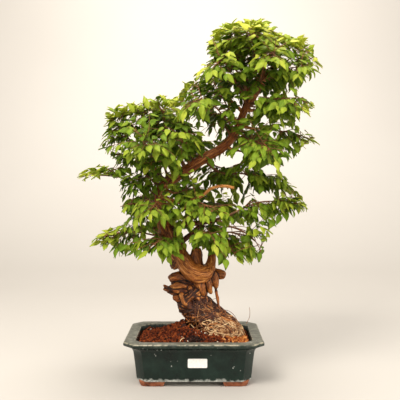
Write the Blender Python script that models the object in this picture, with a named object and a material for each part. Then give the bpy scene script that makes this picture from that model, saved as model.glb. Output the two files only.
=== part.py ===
"""Korean hornbeam bonsai in a glazed rectangular pot with cut corners.

Millimetres in the constants, metres in the scene. +Z is up and the front faces -Y.
The origin lies on the standing surface, under the middle of the whole tree.
"""

import math
import random

import bpy
from mathutils import Vector
from mathutils.bvhtree import BVHTree

MM = 0.001
GAP = 0.3

# Pot: outside width and depth of the rim, height, and where it stands under the crown
POT_X = -13.0
RIM_HALF_X = 111.0
RIM_HALF_Y = 82.5
POT_HEIGHT = 73.0
RIM_BAND = 7.0
CORNER_CUT = 16.0
FOOT_HEIGHT = 8.5
WALL = 6.5
BODY_HALF_X = 92.5
BODY_HALF_Y = 64.5
BODY_CUT = 14.0
BODY_SLOPE = 0.1
BODY_MIDDLE_Z = 20.0
FLOOR_THICKNESS = 7.0
FOOT_LEGS = (44.0, 36.0)
FOOT_WIDTH = 13.0
FOOT_INSET = 2.5
DRAIN_X = 42.0
DRAIN_RADIUS = 8.0
MESH_SIDE = 30.0
MESH_THICKNESS = 1.0
LABEL_SIZE = (30.5, 14.8, 0.4)
LABEL_PLACE = (5.8, 39.7)
LABEL_CORNER = 1.6
# The flare and rim from outside to inside, as (distance in from the edge, corner cut, depth below the top)
FLARE = ((13.2, 14.2, 16.5), (10.0, 14.6, 13.0), (5.6, 15.2, 9.8), (1.6, 15.8, RIM_BAND + 0.8),
         (0.2, CORNER_CUT, RIM_BAND - 1.0), (0.0, CORNER_CUT, 3.0), (0.9, CORNER_CUT, 0.6),
         (2.2, CORNER_CUT, 0.0), (16.4, 13.0, 0.0), (18.0, 12.6, 1.0), (19.4, 12.2, 5.0))

# Soil: level at the pot's wall and the mound round the roots
SOIL_EDGE_Z = 64.0
MOUND_HEIGHT = 30.0
MOUND_CENTRE = (-10.0, 2.0)
MOUND_SPREAD = (55.0, 45.0)
SOIL_RINGS = (1.0, 0.94, 0.86, 0.76, 0.66, 0.56, 0.46, 0.34, 0.2)
SOIL_SIDES = 40
GRAIN = 1.3

# Root base: the outline with which the root mat stands in the soil
ROOT_CENTRE = (18.0, 1.0)
ROOT_HALF = (49.0, 33.0)
ROOT_SIDES = 24
ROOT_DEPTH = 30.0
BARK_WAVE = 0.05

# Leaves: length, the width's share of it, and the spacing of the places that bear them in twos
LEAF_LENGTH = (28.0, 35.0)
LEAF_WIDTH = 0.6
LEAF_THICKNESS = 0.7
LEAF_SPACING = 16.0
STALK_HALF = 0.8
SEAT_RADIUS = 1.7
STEM_TIP_RADIUS = 1.1
CLEARANCE = 0.8
CROWN_LOW = 330.0
CROWN_LEAN = 0.4

# The trunk and its roots, as (x, y, z, radius) along each limb
TRUNK_LIMBS = {
    "core": (10, [(2, 1, 72, 21), (-3, 1, 95, 22), (-13, 0, 114, 22), (-12, 0, 132, 21),
                  (-10, -1, 150, 20), (-10, -2, 166, 17)]),
    "swoop": (10, [(-43, -1, 212, 12), (-37, -6, 196, 16), (-30, -11, 179, 17.5), (-18, -14, 167, 17.5),
                   (-4, -14, 165, 16.5), (8, -11, 171, 15), (15, -7, 183, 12.5), (18, -3, 198, 10),
                   (19, 0, 214, 8.5), (24, 6, 232, 6)]),
    "bole": (8, [(-33, -4, 188, 16), (-44, -3, 209, 13.5), (-54, -1, 228, 12), (-62, 0, 248, 11),
                  (-68, 0, 277, 10.2), (-70, 2, 299, 9.8), (-65, 3, 316, 9.8), (-50, 4, 328, 9.3),
                  (-23, 4, 345, 8.8), (3, 3, 363, 8.2), (36, 2, 383, 7.6), (53, 1, 402, 7.0),
                  (63, 0, 423, 6.4), (70, -1, 441, 5.8), (80, -2, 456, 5.2), (91, -4, 472, 4.8),
                  (100, -6, 490, 4.0)]),
    "left_leader": (6, [(65, 0, 430, 5.5), (71, 3, 448, 4.8), (75, 6, 467, 4.4), (73, 9, 484, 3.8)]),
    "middle_stub": (8, [(-8, -10, 176, 13), (-9, -6, 194, 10.5), (-9, -4, 206, 9.2), (-9, -4, 213, 6)]),
    "right_stub": (8, [(8, -8, 176, 9), (24, -6, 172, 8.6), (35, -6, 171, 8.8), (40.5, -6, 171, 6),
                        (42.5, -6, 171, 2.5)]),
    "bark_lump": (7, [(-30, 2, 186, 15), (-44, 3, 187, 11), (-50, 3, 184, 5)]),
    "back_buttress": (7, [(-20, 12, 176, 13), (-4, 18, 150, 13), (6, 20, 122, 13), (10, 18, 96, 12)]),
    "lobe_front": (7, [(-4, -16, 160, 9), (0, -18, 148, 8.5), (2, -17, 141, 5)]),
    "lobe_middle": (7, [(9, -15, 164, 6), (11, -16, 148, 5.2), (11, -15, 142, 3)]),
    "lobe_right": (7, [(16, -9, 174, 8), (20, -10, 160, 6.8), (22, -9, 148, 4.2)]),
    "hanging_root": (5, [(21, -9, 158, 4.2), (24, -9, 140, 3.0), (27, -9, 122, 2.8), (31, -10, 104, 3.4),
                         (36, -11, 92, 5)]),
    "left_lobe": (7, [(-12, -6, 158, 13), (-34, -9, 164, 10.5), (-48, -9, 162, 8), (-54, -9, 160, 4)]),
    "left_fork": (7, [(-18, -8, 148, 10), (-42, -11, 150, 7), (-57, -11, 147, 4.5), (-64, -11, 151, 2.4)]),
    "left_fork_low": (5, [(-30, -10, 148, 6), (-50, -8, 144, 4.5), (-58, -6, 142, 2.4)]),
    "left_knob": (7, [(-14, -4, 124, 13), (-34, -6, 131, 8), (-47, -7, 131, 3)]),
    "strand_a": (5, [(-2, -17, 154, 6), (-16, -22, 142, 5.5), (-28, -21, 124, 5.5), (-30, -15, 104, 5)]),
    "strand_b": (5, [(6, -14, 140, 5), (-6, -22, 132, 5.5), (-16, -24, 116, 5.5), (-16, -20, 98, 5)]),
    "strand_c": (5, [(-30, -12, 150, 5), (-24, -19, 134, 5), (-10, -24, 118, 5), (0, -24, 100, 5)]),
    "strand_d": (5, [(-30, 4, 150, 6), (-32, 8, 132, 6), (-26, 12, 112, 6), (-16, 14, 96, 6)]),
    "strand_e": (5, [(4, 14, 152, 6), (-8, 20, 134, 6), (-12, 22, 114, 6), (-6, 20, 98, 5)]),
    "cut_branch": (5, [(-20, 3, 346, 5), (-8, -12, 322, 3.8), (3, -18, 304, 3.4), (24, -22, 314, 3.2),
                       (38, -24, 317, 3.2), (52, -25, 314, 3.1)]),
    "dark_branch": (5, [(-42, 0, 214, 6), (-30, 4, 227, 4.6), (-14, 8, 240, 4.2), (-2, 12, 254, 3.8),
                        (4, 20, 268, 3.2)]),
    "cross_branch": (5, [(-62, 0, 246, 6), (-36, -4, 253, 4.6), (-6, -8, 256, 4.2), (20, -10, 260, 3.6),
                         (38, -12, 266, 3.0)]),
}

# Each spray: where its branch leaves the wood with what radius, the branch to its seat, and its stem
SPRAYS = {
    "crown_top": ((96, -5, 482, 3.6), [(104, -6, 508)], [(106, -4, 532), (102, -2, 552), (92, 0, 572)]),
    "crown_top_left": ((73, 9, 482, 3.4), [(66, 12, 512)], [(58, 10, 536), (52, 6, 556), (46, 2, 570)]),
    "crown_top_right": ((99, -6, 488, 3.2), [(116, 2, 512)], [(128, 6, 532), (140, 8, 548), (150, 6, 556)]),
    "crown_high_front": ((92, -4, 475, 3.0), [(88, -22, 502)],
                         [(84, -38, 528), (78, -50, 550), (72, -56, 562)]),
    "crown_high_back": ((75, 7, 474, 3.0), [(76, 24, 504)], [(78, 40, 530), (80, 52, 552)]),
    "crown_left": ((74, 8, 478, 3.4), [(66, 6, 500), (54, 2, 512)], [(38, -2, 530), (22, -6, 543)]),
    "crown_right": ((98, -6, 486, 3.4), [(114, -8, 502)],
                    [(136, -14, 520), (158, -18, 530), (178, -20, 524)]),
    "crown_front": ((88, -4, 467, 3.2), [(94, -24, 484)],
                    [(98, -52, 508), (104, -80, 520), (108, -98, 512)]),
    "crown_back": ((75, 7, 470, 3.2), [(84, 28, 490)], [(90, 56, 514), (94, 82, 524), (96, 98, 516)]),
    "crown_front_left": ((73, 3, 456, 3.0), [(60, -16, 476)],
                         [(44, -42, 500), (30, -68, 510), (20, -88, 500)]),
    "crown_back_left": ((74, 7, 474, 3.0), [(56, 26, 492)], [(38, 52, 512), (26, 80, 516)]),
    "crown_front_right": ((94, -4, 478, 3.0), [(112, -26, 490)], [(134, -50, 502), (156, -72, 500)]),
    "crown_back_right": ((96, -5, 482, 3.0), [(110, 18, 496)], [(134, 46, 512), (158, 66, 508)]),
    "shoulder_left": ((68, 1, 440, 3.4), [(48, 4, 458), (34, 4, 464)],
                      [(6, 0, 476), (-18, -4, 482), (-34, -6, 474)]),
    "shoulder_inner": ((61, 0, 418, 3.0), [(46, -14, 440)],
                       [(30, -30, 464), (18, -40, 484), (12, -46, 496)]),
    "shoulder_front": ((56, 1, 408, 3.2), [(38, -20, 428)],
                       [(16, -48, 446), (-4, -76, 450), (-16, -96, 440)]),
    "shoulder_back": ((50, 2, 399, 3.2), [(36, 26, 424)], [(14, 56, 446), (-6, 84, 452), (-16, 104, 444)]),
    "right_upper": ((71, -1, 443, 3.4), [(88, -6, 442), (104, -10, 443)],
                    [(132, -18, 450), (160, -22, 456), (178, -24, 448)]),
    "right_upper_back": ((72, 3, 452, 3.0), [(90, 26, 452)],
                         [(116, 54, 456), (138, 78, 456), (150, 92, 448)]),
    "right_upper_front": ((78, -2, 453, 3.0), [(94, -28, 450)],
                          [(114, -56, 454), (130, -82, 450), (136, -98, 440)]),
    "right_middle": ((61, 0, 418, 3.4), [(80, -4, 413), (96, -6, 412)],
                     [(126, -10, 408), (156, -12, 402), (180, -14, 393)]),
    "right_middle_back": ((60, 1, 414, 3.0), [(74, 28, 408)], [(94, 58, 406), (112, 84, 402)]),
    "right_middle_front": ((52, 1, 400, 3.0), [(62, -24, 394)],
                           [(78, -52, 390), (96, -80, 380), (104, -96, 368)]),
    "right_inner": ((38, 2, 385, 3.0), [(54, -6, 376)], [(74, -14, 372), (96, -20, 364), (112, -24, 354)]),
    "pad_top": ((-26, 4, 343, 4.0), [(-40, 4, 370), (-54, 2, 392)],
                [(-72, -2, 418), (-92, -6, 436), (-108, -8, 440)]),
    "pad_crest": ((-40, 4, 334, 3.2), [(-50, -10, 366), (-56, -16, 388)],
                  [(-60, -30, 416), (-62, -38, 440)]),
    "pad_outer": ((-60, 4, 320, 4.0), [(-78, 0, 346), (-96, -4, 366)],
                  [(-118, -8, 392), (-138, -12, 412), (-150, -14, 422)]),
    "pad_outer_low": ((-66, 3, 312, 3.4), [(-90, 8, 332)],
                      [(-116, 12, 356), (-138, 12, 370), (-152, 10, 370)]),
    "pad_front": ((-54, 4, 325, 3.4), [(-62, -24, 350)],
                  [(-74, -54, 374), (-82, -84, 386), (-86, -104, 378)]),
    "pad_back": ((-44, 4, 332, 3.4), [(-60, 32, 356)], [(-76, 62, 380), (-86, 90, 388), (-90, 108, 380)]),
    "pad_middle": ((2, 3, 362, 3.4), [(-8, 2, 386), (-18, 0, 400)], [(-30, -4, 424), (-44, -8, 440)]),
    "pad_top_inner": ((-12, 4, 352, 3.2), [(-22, 14, 382), (-34, 18, 404)],
                      [(-50, 24, 428), (-64, 28, 444)]),
    "pad_middle_front": ((-20, 4, 347, 3.2), [(-24, -20, 364)], [(-30, -50, 386), (-36, -80, 396)]),
    "pad_middle_back": ((-6, 4, 357, 3.2), [(-14, 32, 378)], [(-24, 62, 400), (-34, 90, 406)]),
    "left_tip": ((-70, 1, 298, 3.4), [(-92, -6, 314)],
                 [(-122, -10, 328), (-154, -12, 334), (-180, -12, 333)]),
    "left_low": ((-69, 1, 284, 3.2), [(-88, -12, 284)], [(-110, -22, 288), (-132, -28, 284)]),
    "left_low_back": ((-69, 1, 290, 3.2), [(-86, 30, 290)], [(-104, 60, 298), (-116, 88, 296)]),
    "left_front": ((-66, 0, 268, 3.2), [(-68, -28, 280)], [(-72, -58, 290), (-76, -86, 284)]),
    "low_left": ((-58, -1, 238, 3.6), [(-80, -10, 236)],
                 [(-106, -20, 242), (-132, -28, 242), (-156, -34, 236)]),
    "low_left_front": ((-50, -2, 222, 3.2), [(-56, -26, 226)], [(-66, -54, 234), (-76, -80, 226)]),
    "low_left_back": ((-54, 0, 230, 3.2), [(-74, 28, 238)], [(-96, 58, 246), (-112, 84, 240)]),
    "right_low": ((4, 3, 363, 3.4), [(20, 12, 346), (38, 14, 338)],
                  [(66, 12, 338), (94, 8, 334), (122, 4, 326)]),
    "right_low_back": ((10, 3, 367, 3.0), [(22, 34, 352)], [(44, 64, 346), (64, 92, 338)]),
    "right_tip": ((36, -12, 265, 2.8), [(58, -16, 276)], [(90, -22, 290), (122, -26, 292), (152, -28, 286)]),
    "right_bottom": ((24, -10, 261, 2.8), [(44, -24, 252)],
                     [(66, -36, 244), (86, -42, 228), (94, -44, 212)]),
    "middle_front": ((-6, -8, 256, 2.8), [(0, -32, 254)], [(8, -58, 250), (16, -82, 238)]),
    "middle_inner": ((-66, 3, 315, 3.0), [(-44, -22, 304)],
                     [(-20, -40, 296), (4, -56, 288), (26, -66, 280)]),
    "middle_back": ((3, 19, 267, 2.8), [(12, 42, 276)], [(28, 70, 286), (42, 98, 282)]),
    "middle_back_left": ((-68, 3, 305, 3.0), [(-44, 30, 306)], [(-24, 60, 312), (-8, 90, 306)]),
    "arm_top": ((22, 4, 226, 3.2), [(34, 14, 238)], [(54, 24, 238), (72, 30, 226), (80, 32, 212)]),
    "arm_front": ((20, 1, 218, 3.0), [(30, -14, 226)], [(42, -38, 224), (50, -60, 212)]),
}


def catmull(points, steps):
    """Points on a smooth curve through the given ones, radius included where there is one."""
    out = []
    last = len(points) - 1
    for i in range(last):
        p0, p1, p2, p3 = (points[max(0, min(last, i + k))] for k in (-1, 0, 1, 2))
        for s in range(steps):
            t = s / steps
            out.append(tuple(
                0.5 * (2 * b + (c - a) * t + (2 * a - 5 * b + 4 * c - d) * t * t
                       + (3 * b - a - 3 * c + d) * t ** 3)
                for a, b, c, d in zip(p0, p1, p2, p3)))
    out.append(tuple(points[-1]))
    return out


def make_object(name, verts, faces, material=None, smooth=False):
    """A mesh object from points in millimetres."""
    mesh = bpy.data.meshes.new(name)
    mesh.from_pydata([Vector(v) * MM for v in verts], [], faces)
    mesh.validate()
    ob = bpy.data.objects.new(name, mesh)
    bpy.context.scene.collection.objects.link(ob)
    if material:
        mesh.materials.append(material)
    if smooth:
        mesh.shade_smooth()
    return ob


def principled(name, colour, roughness, coat=0.0):
    material = bpy.data.materials.new(name)
    material.use_nodes = True
    shader = material.node_tree.nodes["Principled BSDF"]
    shader.inputs["Base Color"].default_value = (*colour, 1.0)
    shader.inputs["Roughness"].default_value = roughness
    shader.inputs["Metallic"].default_value = 0.0
    shader.inputs["Coat Weight"].default_value = coat
    return material


def bake_modifiers(ob):
    """Puts the evaluated mesh in place of the object's own."""
    evaluated = ob.evaluated_get(bpy.context.evaluated_depsgraph_get())
    mesh = bpy.data.meshes.new_from_object(evaluated)
    ob.modifiers.clear()
    ob.data = mesh


def boolean(ob, others, operation):
    """One Boolean on a collection of the other objects, which are then removed."""
    holder = bpy.data.collections.new(ob.name + "_joined")
    bpy.context.scene.collection.children.link(holder)
    for other in others:
        holder.objects.link(other)
    step = ob.modifiers.new("join", "BOOLEAN")
    step.operation = operation
    step.operand_type = "COLLECTION"
    step.collection = holder
    step.solver = "EXACT"
    bake_modifiers(ob)
    for other in others:
        bpy.data.objects.remove(other)
    bpy.data.collections.remove(holder)


def bridge(rings):
    """Faces between equal rings of points, numbered ring by ring, with a cap at both ends."""
    n = len(rings[0])
    faces = []
    for r in range(len(rings) - 1):
        for k in range(n):
            a, b = r * n + k, r * n + (k + 1) % n
            faces.append((a, b, b + n, a + n))
    first = (len(rings) - 1) * n
    faces.append(tuple(reversed(range(n))))
    faces.append(tuple(range(first, first + n)))
    return faces


def uneven_bridge(rings):
    """Points and faces of a bumpy skin over equal rings: triangles, and a middle point at the top."""
    n = len(rings[0])
    verts = [Vector(v) for ring in rings for v in ring]
    faces = []
    for r in range(len(rings) - 1):
        for k in range(n):
            a, b = r * n + k, r * n + (k + 1) % n
            faces += [(a, b, b + n), (a, b + n, a + n)]
    faces.append(tuple(reversed(range(n))))
    first = len(verts) - n
    verts.append(sum(verts[first:], Vector()) / n)
    faces += [(first + k, first + (k + 1) % n, first + n) for k in range(n)]
    return verts, faces


def tube_mesh(points, sides, wobble=0.0, end_heading=None):
    """Points and faces of a tapered tube along (x, y, z, radius) points, flat at both ends."""
    axis = [Vector(p[:3]) for p in points]
    tangents = [(axis[min(i + 1, len(axis) - 1)] - axis[max(i - 1, 0)]).normalized()
                for i in range(len(axis))]
    if end_heading:
        tangents[-1] = end_heading
    side = tangents[0].orthogonal().normalized()
    rings = []
    for i, (centre, tangent) in enumerate(zip(axis, tangents)):
        side = (side - tangent * side.dot(tangent)).normalized()
        other = tangent.cross(side)
        ring = []
        for k in range(sides):
            angle = math.tau * k / sides
            radius = points[i][3] * (1 + wobble * math.sin(3 * angle + 1.3 * i))
            ring.append(centre + side * (radius * math.cos(angle)) + other * (radius * math.sin(angle)))
        rings.append(ring)
    return [v for ring in rings for v in ring], bridge(rings)


def octagon(half_x, half_y, cut, z, centre_x=POT_X):
    """Eight corners of a rectangle with cut corners, anticlockwise from above."""
    corners = [(half_x, -half_y + cut), (half_x, half_y - cut), (half_x - cut, half_y),
               (-half_x + cut, half_y), (-half_x, half_y - cut), (-half_x, -half_y + cut),
               (-half_x + cut, -half_y), (half_x - cut, -half_y)]
    return [(centre_x + x, y, z) for x, y in corners]


def body_half(z, inset=0.0):
    """Half width, half depth and corner cut of the pot's body at a height."""
    grow = BODY_SLOPE * (z - BODY_MIDDLE_Z) - inset
    return BODY_HALF_X + grow, BODY_HALF_Y + grow, BODY_CUT - (2 - math.sqrt(2)) * inset


def make_foot(sign_x, sign_y):
    """A corner foot: two short legs along the body's edges with slanted ends."""
    half_x, half_y, cut = body_half(FOOT_HEIGHT, FOOT_INSET)
    leg_x, leg_y = FOOT_LEGS

    def outline(shrink, z):
        outer_x, outer_y = half_x - shrink, half_y - shrink
        inner_x, inner_y = half_x - FOOT_WIDTH + shrink, half_y - FOOT_WIDTH + shrink
        bevel = cut - 0.6 * shrink
        points = [(outer_x - bevel, outer_y), (outer_x, outer_y - bevel), (outer_x, half_y - leg_y + shrink),
                  (inner_x, half_y - leg_y + shrink), (inner_x, inner_y),
                  (half_x - leg_x + shrink, inner_y), (half_x - leg_x + shrink, outer_y)]
        ring = [(POT_X + sign_x * x, sign_y * y, z) for x, y in points]
        return ring if sign_x * sign_y < 0 else ring[::-1]

    rings = [outline(3.0, 0.0), outline(1.2, 2.5), outline(0.0, FOOT_HEIGHT - 1),
             outline(0.0, FOOT_HEIGHT + 2)]
    return make_object("foot", [v for ring in rings for v in ring], bridge(rings))


def cylinder(name, centre, radius, z_low, z_high, sides=16):
    rings = [[(centre[0] + radius * math.cos(math.tau * k / sides),
               centre[1] + radius * math.sin(math.tau * k / sides), z) for k in range(sides)]
             for z in (z_low, z_high)]
    return make_object(name, [v for ring in rings for v in ring], bridge(rings))


def box(name, centre, size, z_low, z_high):
    rings = [[(centre[0] + sx * size[0] / 2, centre[1] + sy * size[1] / 2, z)
              for sx, sy in ((-1, -1), (1, -1), (1, 1), (-1, 1))] for z in (z_low, z_high)]
    return make_object(name, [v for ring in rings for v in ring], bridge(rings))


def make_pot():
    """Glazed stoneware pot, fired in one piece with its flared rim and four feet."""
    floor = FOOT_HEIGHT + FLOOR_THICKNESS
    rings = [octagon(*body_half(FOOT_HEIGHT, 1.6), FOOT_HEIGHT), octagon(*body_half(10.5), 10.5),
             octagon(*body_half(52.0), 52.0)]
    rings += [octagon(RIM_HALF_X - inward, RIM_HALF_Y - inward, cut, POT_HEIGHT - below)
              for inward, cut, below in FLARE]
    rings += [octagon(*body_half(54.0, WALL), 54.0), octagon(*body_half(floor + 4, WALL), floor + 4),
              octagon(*body_half(floor, WALL + 3), floor)]
    pot = make_object("pot", [v for ring in rings for v in ring], bridge(rings))
    feet = [make_foot(sx, sy) for sx in (-1, 1) for sy in (-1, 1)]
    boolean(pot, feet, "UNION")
    drains = [cylinder("drain", (POT_X + s * DRAIN_X, 0), DRAIN_RADIUS, 5, floor + 3) for s in (-1, 1)]
    boolean(pot, drains, "DIFFERENCE")
    pot.data.materials.clear()
    pot.data.materials.append(principled("dark_green_glaze", (0.012, 0.032, 0.028), 0.28, 0.6))
    return pot


def make_drain_meshes():
    """Square of plastic netting over each drain hole, lying on the pot's floor."""
    netting = principled("netting_plastic", (0.01, 0.01, 0.012), 0.6)
    low = FOOT_HEIGHT + FLOOR_THICKNESS + GAP
    for name, sign in (("drain_mesh_left", -1), ("drain_mesh_right", 1)):
        centre = (POT_X + sign * DRAIN_X, 0)
        net = box(name, centre, (MESH_SIDE, MESH_SIDE), low, low + MESH_THICKNESS)
        pitch = MESH_SIDE / 4
        eyes = [box("eye", (centre[0] + i * pitch, centre[1] + j * pitch), (10.0, 10.0), low - 1, low + 3)
                for i in (-1, 1) for j in (-1, 1)]
        boolean(net, eyes, "DIFFERENCE")
        net.data.materials.clear()
        net.data.materials.append(netting)


def make_label():
    """Small blank paper label on the pot's front, leaning with its face."""
    width, height, thick = LABEL_SIZE
    outline = []
    for sx, sz, start in ((1, -1, -90), (1, 1, 0), (-1, 1, 90), (-1, -1, 180)):
        for step in (0, 45, 90):
            angle = math.radians(start + step)
            outline.append((sx * (width / 2 - LABEL_CORNER) + LABEL_CORNER * math.cos(angle),
                            sz * (height / 2 - LABEL_CORNER) + LABEL_CORNER * math.sin(angle)))
    rings = [[(POT_X + LABEL_PLACE[0] + x, -body_half(LABEL_PLACE[1] + z)[1] - depth, LABEL_PLACE[1] + z)
              for x, z in outline] for depth in (GAP, GAP + thick)]
    paper = principled("label_paper", (0.86, 0.85, 0.82), 0.5)
    make_object("label", [v for ring in rings for v in ring], bridge(rings), paper)


def soil_height(x, y):
    dx = (x - MOUND_CENTRE[0]) / MOUND_SPREAD[0]
    dy = (y - MOUND_CENTRE[1]) / MOUND_SPREAD[1]
    return SOIL_EDGE_Z + MOUND_HEIGHT * math.exp(-dx * dx - dy * dy)


def root_outline(scale, grow=0.0):
    """The root mat's plan: an oval with low lobes."""
    points = []
    for k in range(ROOT_SIDES):
        angle = math.tau * k / ROOT_SIDES
        lobe = 1 + 0.05 * math.sin(5 * angle + 0.6) + 0.03 * math.sin(9 * angle)
        points.append(((ROOT_HALF[0] * lobe * scale + grow) * math.cos(angle),
                       (ROOT_HALF[1] * lobe * scale + grow) * math.sin(angle)))
    return points


def octagon_radius(half_x, half_y, cut, angle):
    """Distance from the middle to the edge of a rectangle with cut corners."""
    c, s = abs(math.cos(angle)), abs(math.sin(angle))
    reach = min(half_x / max(c, 1e-6), half_y / max(s, 1e-6))
    return min(reach, (half_x + half_y - cut) / (c + s))


def make_soil():
    """The pot's filling: a mound of baked-clay grains round the roots."""
    rng = random.Random(11)
    floor = FOOT_HEIGHT + FLOOR_THICKNESS + GAP
    angles = [math.tau * k / SOIL_SIDES for k in range(SOIL_SIDES)]

    def wall_ring(z, inset):
        size = body_half(z, WALL + GAP + inset)
        return [(POT_X + octagon_radius(*size, a) * math.cos(a), octagon_radius(*size, a) * math.sin(a), z)
                for a in angles]

    top_size = body_half(SOIL_EDGE_Z - 10, WALL + GAP + 0.4)
    rings = [wall_ring(floor, 3.2), wall_ring(floor + 4.2, 0.3)]
    for i, scale in enumerate(SOIL_RINGS):
        ring = []
        for a in angles:
            radius = octagon_radius(*top_size, a) * scale
            x, y = POT_X + radius * math.cos(a), radius * math.sin(a)
            bump = rng.uniform(-GRAIN, GRAIN) if i else 0.0
            ring.append((x, y, soil_height(x, y) + bump - (2.0 if not i else 0.0)))
        rings.append(ring)
    soil = make_object("soil", *uneven_bridge(rings))
    hole_rings = [[(ROOT_CENTRE[0] + x, ROOT_CENTRE[1] + y, z) for x, y in root_outline(1.0, GAP)]
                  for z in (SOIL_EDGE_Z - ROOT_DEPTH - GAP, 140.0)]
    hole = make_object("hole", [v for ring in hole_rings for v in ring], bridge(hole_rings))
    pockets = [box("pocket", (POT_X + s * DRAIN_X, 0), (MESH_SIDE + 2 * GAP,) * 2, floor - 3,
                   floor + MESH_THICKNESS + GAP) for s in (-1, 1)]
    boolean(soil, [hole, *pockets], "DIFFERENCE")
    soil.data.materials.clear()
    soil.data.materials.append(principled("baked_clay_grains", (0.16, 0.045, 0.014), 0.95))
    return soil


def root_mat():
    """The matted root mass, from its foot in the soil up to the trunk, with root ridges."""
    profile = ((-ROOT_DEPTH, 1.0, 0.0), (0.0, 1.0, 0.0), (5.0, 0.94, 0.0), (13.0, 0.82, -4.0),
               (24.0, 0.66, -9.0), (36.0, 0.5, -15.0), (48.0, 0.34, -20.0), (58.0, 0.16, -22.0))
    rings = []
    for rise, scale, shift in profile:
        ring = []
        for k, (x, y) in enumerate(root_outline(scale)):
            ridge = 1 + 0.05 * max(0.0, min(1.0, (rise - 5) / 15)) * math.sin(2.4 * k + 0.12 * rise)
            px, py = ROOT_CENTRE[0] + shift + x * ridge, ROOT_CENTRE[1] + y * ridge
            level = soil_height(ROOT_CENTRE[0] + x / scale, ROOT_CENTRE[1] + y / scale)
            z = SOIL_EDGE_Z - ROOT_DEPTH if rise < 0 else level * (1 - rise / 90) + 82 * rise / 90 + rise
            ring.append((px, py, z))
        rings.append(ring)
    return make_object("root_mat", *uneven_bridge(rings))


def surface_roots():
    """Thick roots that run down over the mat and end inside it."""
    rng = random.Random(5)
    roots = []
    for k in range(8):
        angle = math.radians(-160 + 44 * k + rng.uniform(-6, 6))
        start = (4 + 8 * math.cos(angle), 1 + 8 * math.sin(angle), 128 + rng.uniform(-4, 4))
        points = [(*start, 3.6)]
        for rise, reach in ((28, 0.58), (17, 0.7), (9, 0.79)):
            a = angle + rng.uniform(-0.12, 0.12)
            x = ROOT_CENTRE[0] - 0.42 * rise + ROOT_HALF[0] * reach * math.cos(a)
            y = ROOT_CENTRE[1] + ROOT_HALF[1] * reach * math.sin(a)
            level = soil_height(x, y)
            points.append((x, y, level + rise * 0.75, 3.2 - 0.02 * (28 - rise)))
        roots.append(make_object("root", *tube_mesh(points, 4)))
    return roots


def make_branch(origin, branch, stem):
    """A branch from inside the wood to its spray's seat, cut square to the stem that goes on from it."""
    path = [Vector(origin[:3]), *(Vector(p) for p in branch)]
    slope = (SEAT_RADIUS - origin[3]) / (len(path) - 1)
    points = [(*p, origin[3] + slope * i) for i, p in enumerate(path)]
    heading = (Vector(stem[0]) - path[-1]).normalized()
    return make_object("branch", *tube_mesh(points, 4, end_heading=heading))


def make_trunk():
    """All the grown wood: roots, twisted base, bole, leaders and the branches to each spray."""
    limbs = []
    for name, (sides, points) in TRUNK_LIMBS.items():
        if name != "core":
            limbs.append(make_object(name, *tube_mesh(points, sides, wobble=BARK_WAVE)))
    for origin, branch, stem in SPRAYS.values():
        limbs.append(make_branch(origin, branch, stem))
    trunk = make_object("trunk", *tube_mesh(TRUNK_LIMBS["core"][1], TRUNK_LIMBS["core"][0], wobble=BARK_WAVE))
    boolean(trunk, [root_mat(), *surface_roots(), *limbs], "UNION")
    trunk.data.materials.clear()
    trunk.data.materials.append(principled("hornbeam_bark", (0.22, 0.1, 0.045), 0.75))
    return trunk


def leaf_frame(along, up):
    """Axes of a blade: along it, across it and out of its upper face."""
    along = along.normalized()
    side = along.cross(up).normalized()
    return along, side, side.cross(along)


def blade_outline(base, axes, length, width, grow=0.0):
    """Five points round an ovate pointed blade, folded at the rib and waved at the edge."""
    along, side, up = axes
    half = width / 2 + grow
    places = ((0.36 * length, half, 0.2 * half), (0.74 * length, 0.6 * half, -0.05 * length),
              (length + grow, 0.0, -0.17 * length),
              (0.74 * length, -0.6 * half, -0.05 * length), (0.36 * length, -half, 0.2 * half))
    return [base + along * x + side * y + up * z for x, y, z in places]


def add_blade(verts, faces, corners, base, axes, length, width):
    """Grows a blade out of four corners: upper and lower on one edge, lower and upper on the other."""
    top_p, low_p, low_q, top_q = corners
    first = len(verts)
    lift = axes[2] * (LEAF_THICKNESS / 2)
    outline = blade_outline(base, axes, length, width)
    verts += [p + lift for p in outline] + [p - lift for p in outline]
    p1, p2, tip, q2, q1 = range(first, first + 5)
    p1_low, p2_low, tip_low, q2_low, q1_low = range(first + 5, first + 10)
    if top_p != top_q:
        faces.append((top_q, top_p, tip))
    faces += [(top_p, p1, tip), (p1, p2, tip), (top_q, tip, q1), (q1, tip, q2)]
    faces += [(low_p, low_q, tip_low), (low_p, tip_low, p1_low), (p1_low, tip_low, p2_low),
              (low_q, q1_low, tip_low), (q1_low, q2_low, tip_low)]
    faces += [(top_p, low_p, p1_low), (top_p, p1_low, p1), (low_q, top_q, q1), (low_q, q1, q1_low)]
    rim = ((p1, p1_low), (p2, p2_low), (tip, tip_low), (q2, q2_low), (q1, q1_low))
    for (a, a_low), (b, b_low) in zip(rim, rim[1:]):
        faces += [(a, a_low, b_low), (a, b_low, b)]


def blade_guard(base, axes, length, width, start, thickness, grow):
    """A loose solid cover of a blade, for keeping others away from it."""
    stalk = [base + axes[0] * start + axes[1] * s for s in (1.2 + grow, -1.2 - grow)]
    outline = [stalk[0], *blade_outline(base, axes, length, width, grow), stalk[1]]
    lift = axes[2] * (thickness / 2)
    verts = [p + lift for p in outline] + [p - lift for p in outline]
    skin = ((0, 1, 3), (1, 2, 3), (0, 3, 6), (6, 3, 5), (5, 3, 4))
    faces = list(skin) + [tuple(7 + v for v in reversed(tri)) for tri in skin]
    for a in range(7):
        b = (a + 1) % 7
        faces += [(a, 7 + a, b), (b, 7 + a, 7 + b)]
    return verts, faces


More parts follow.
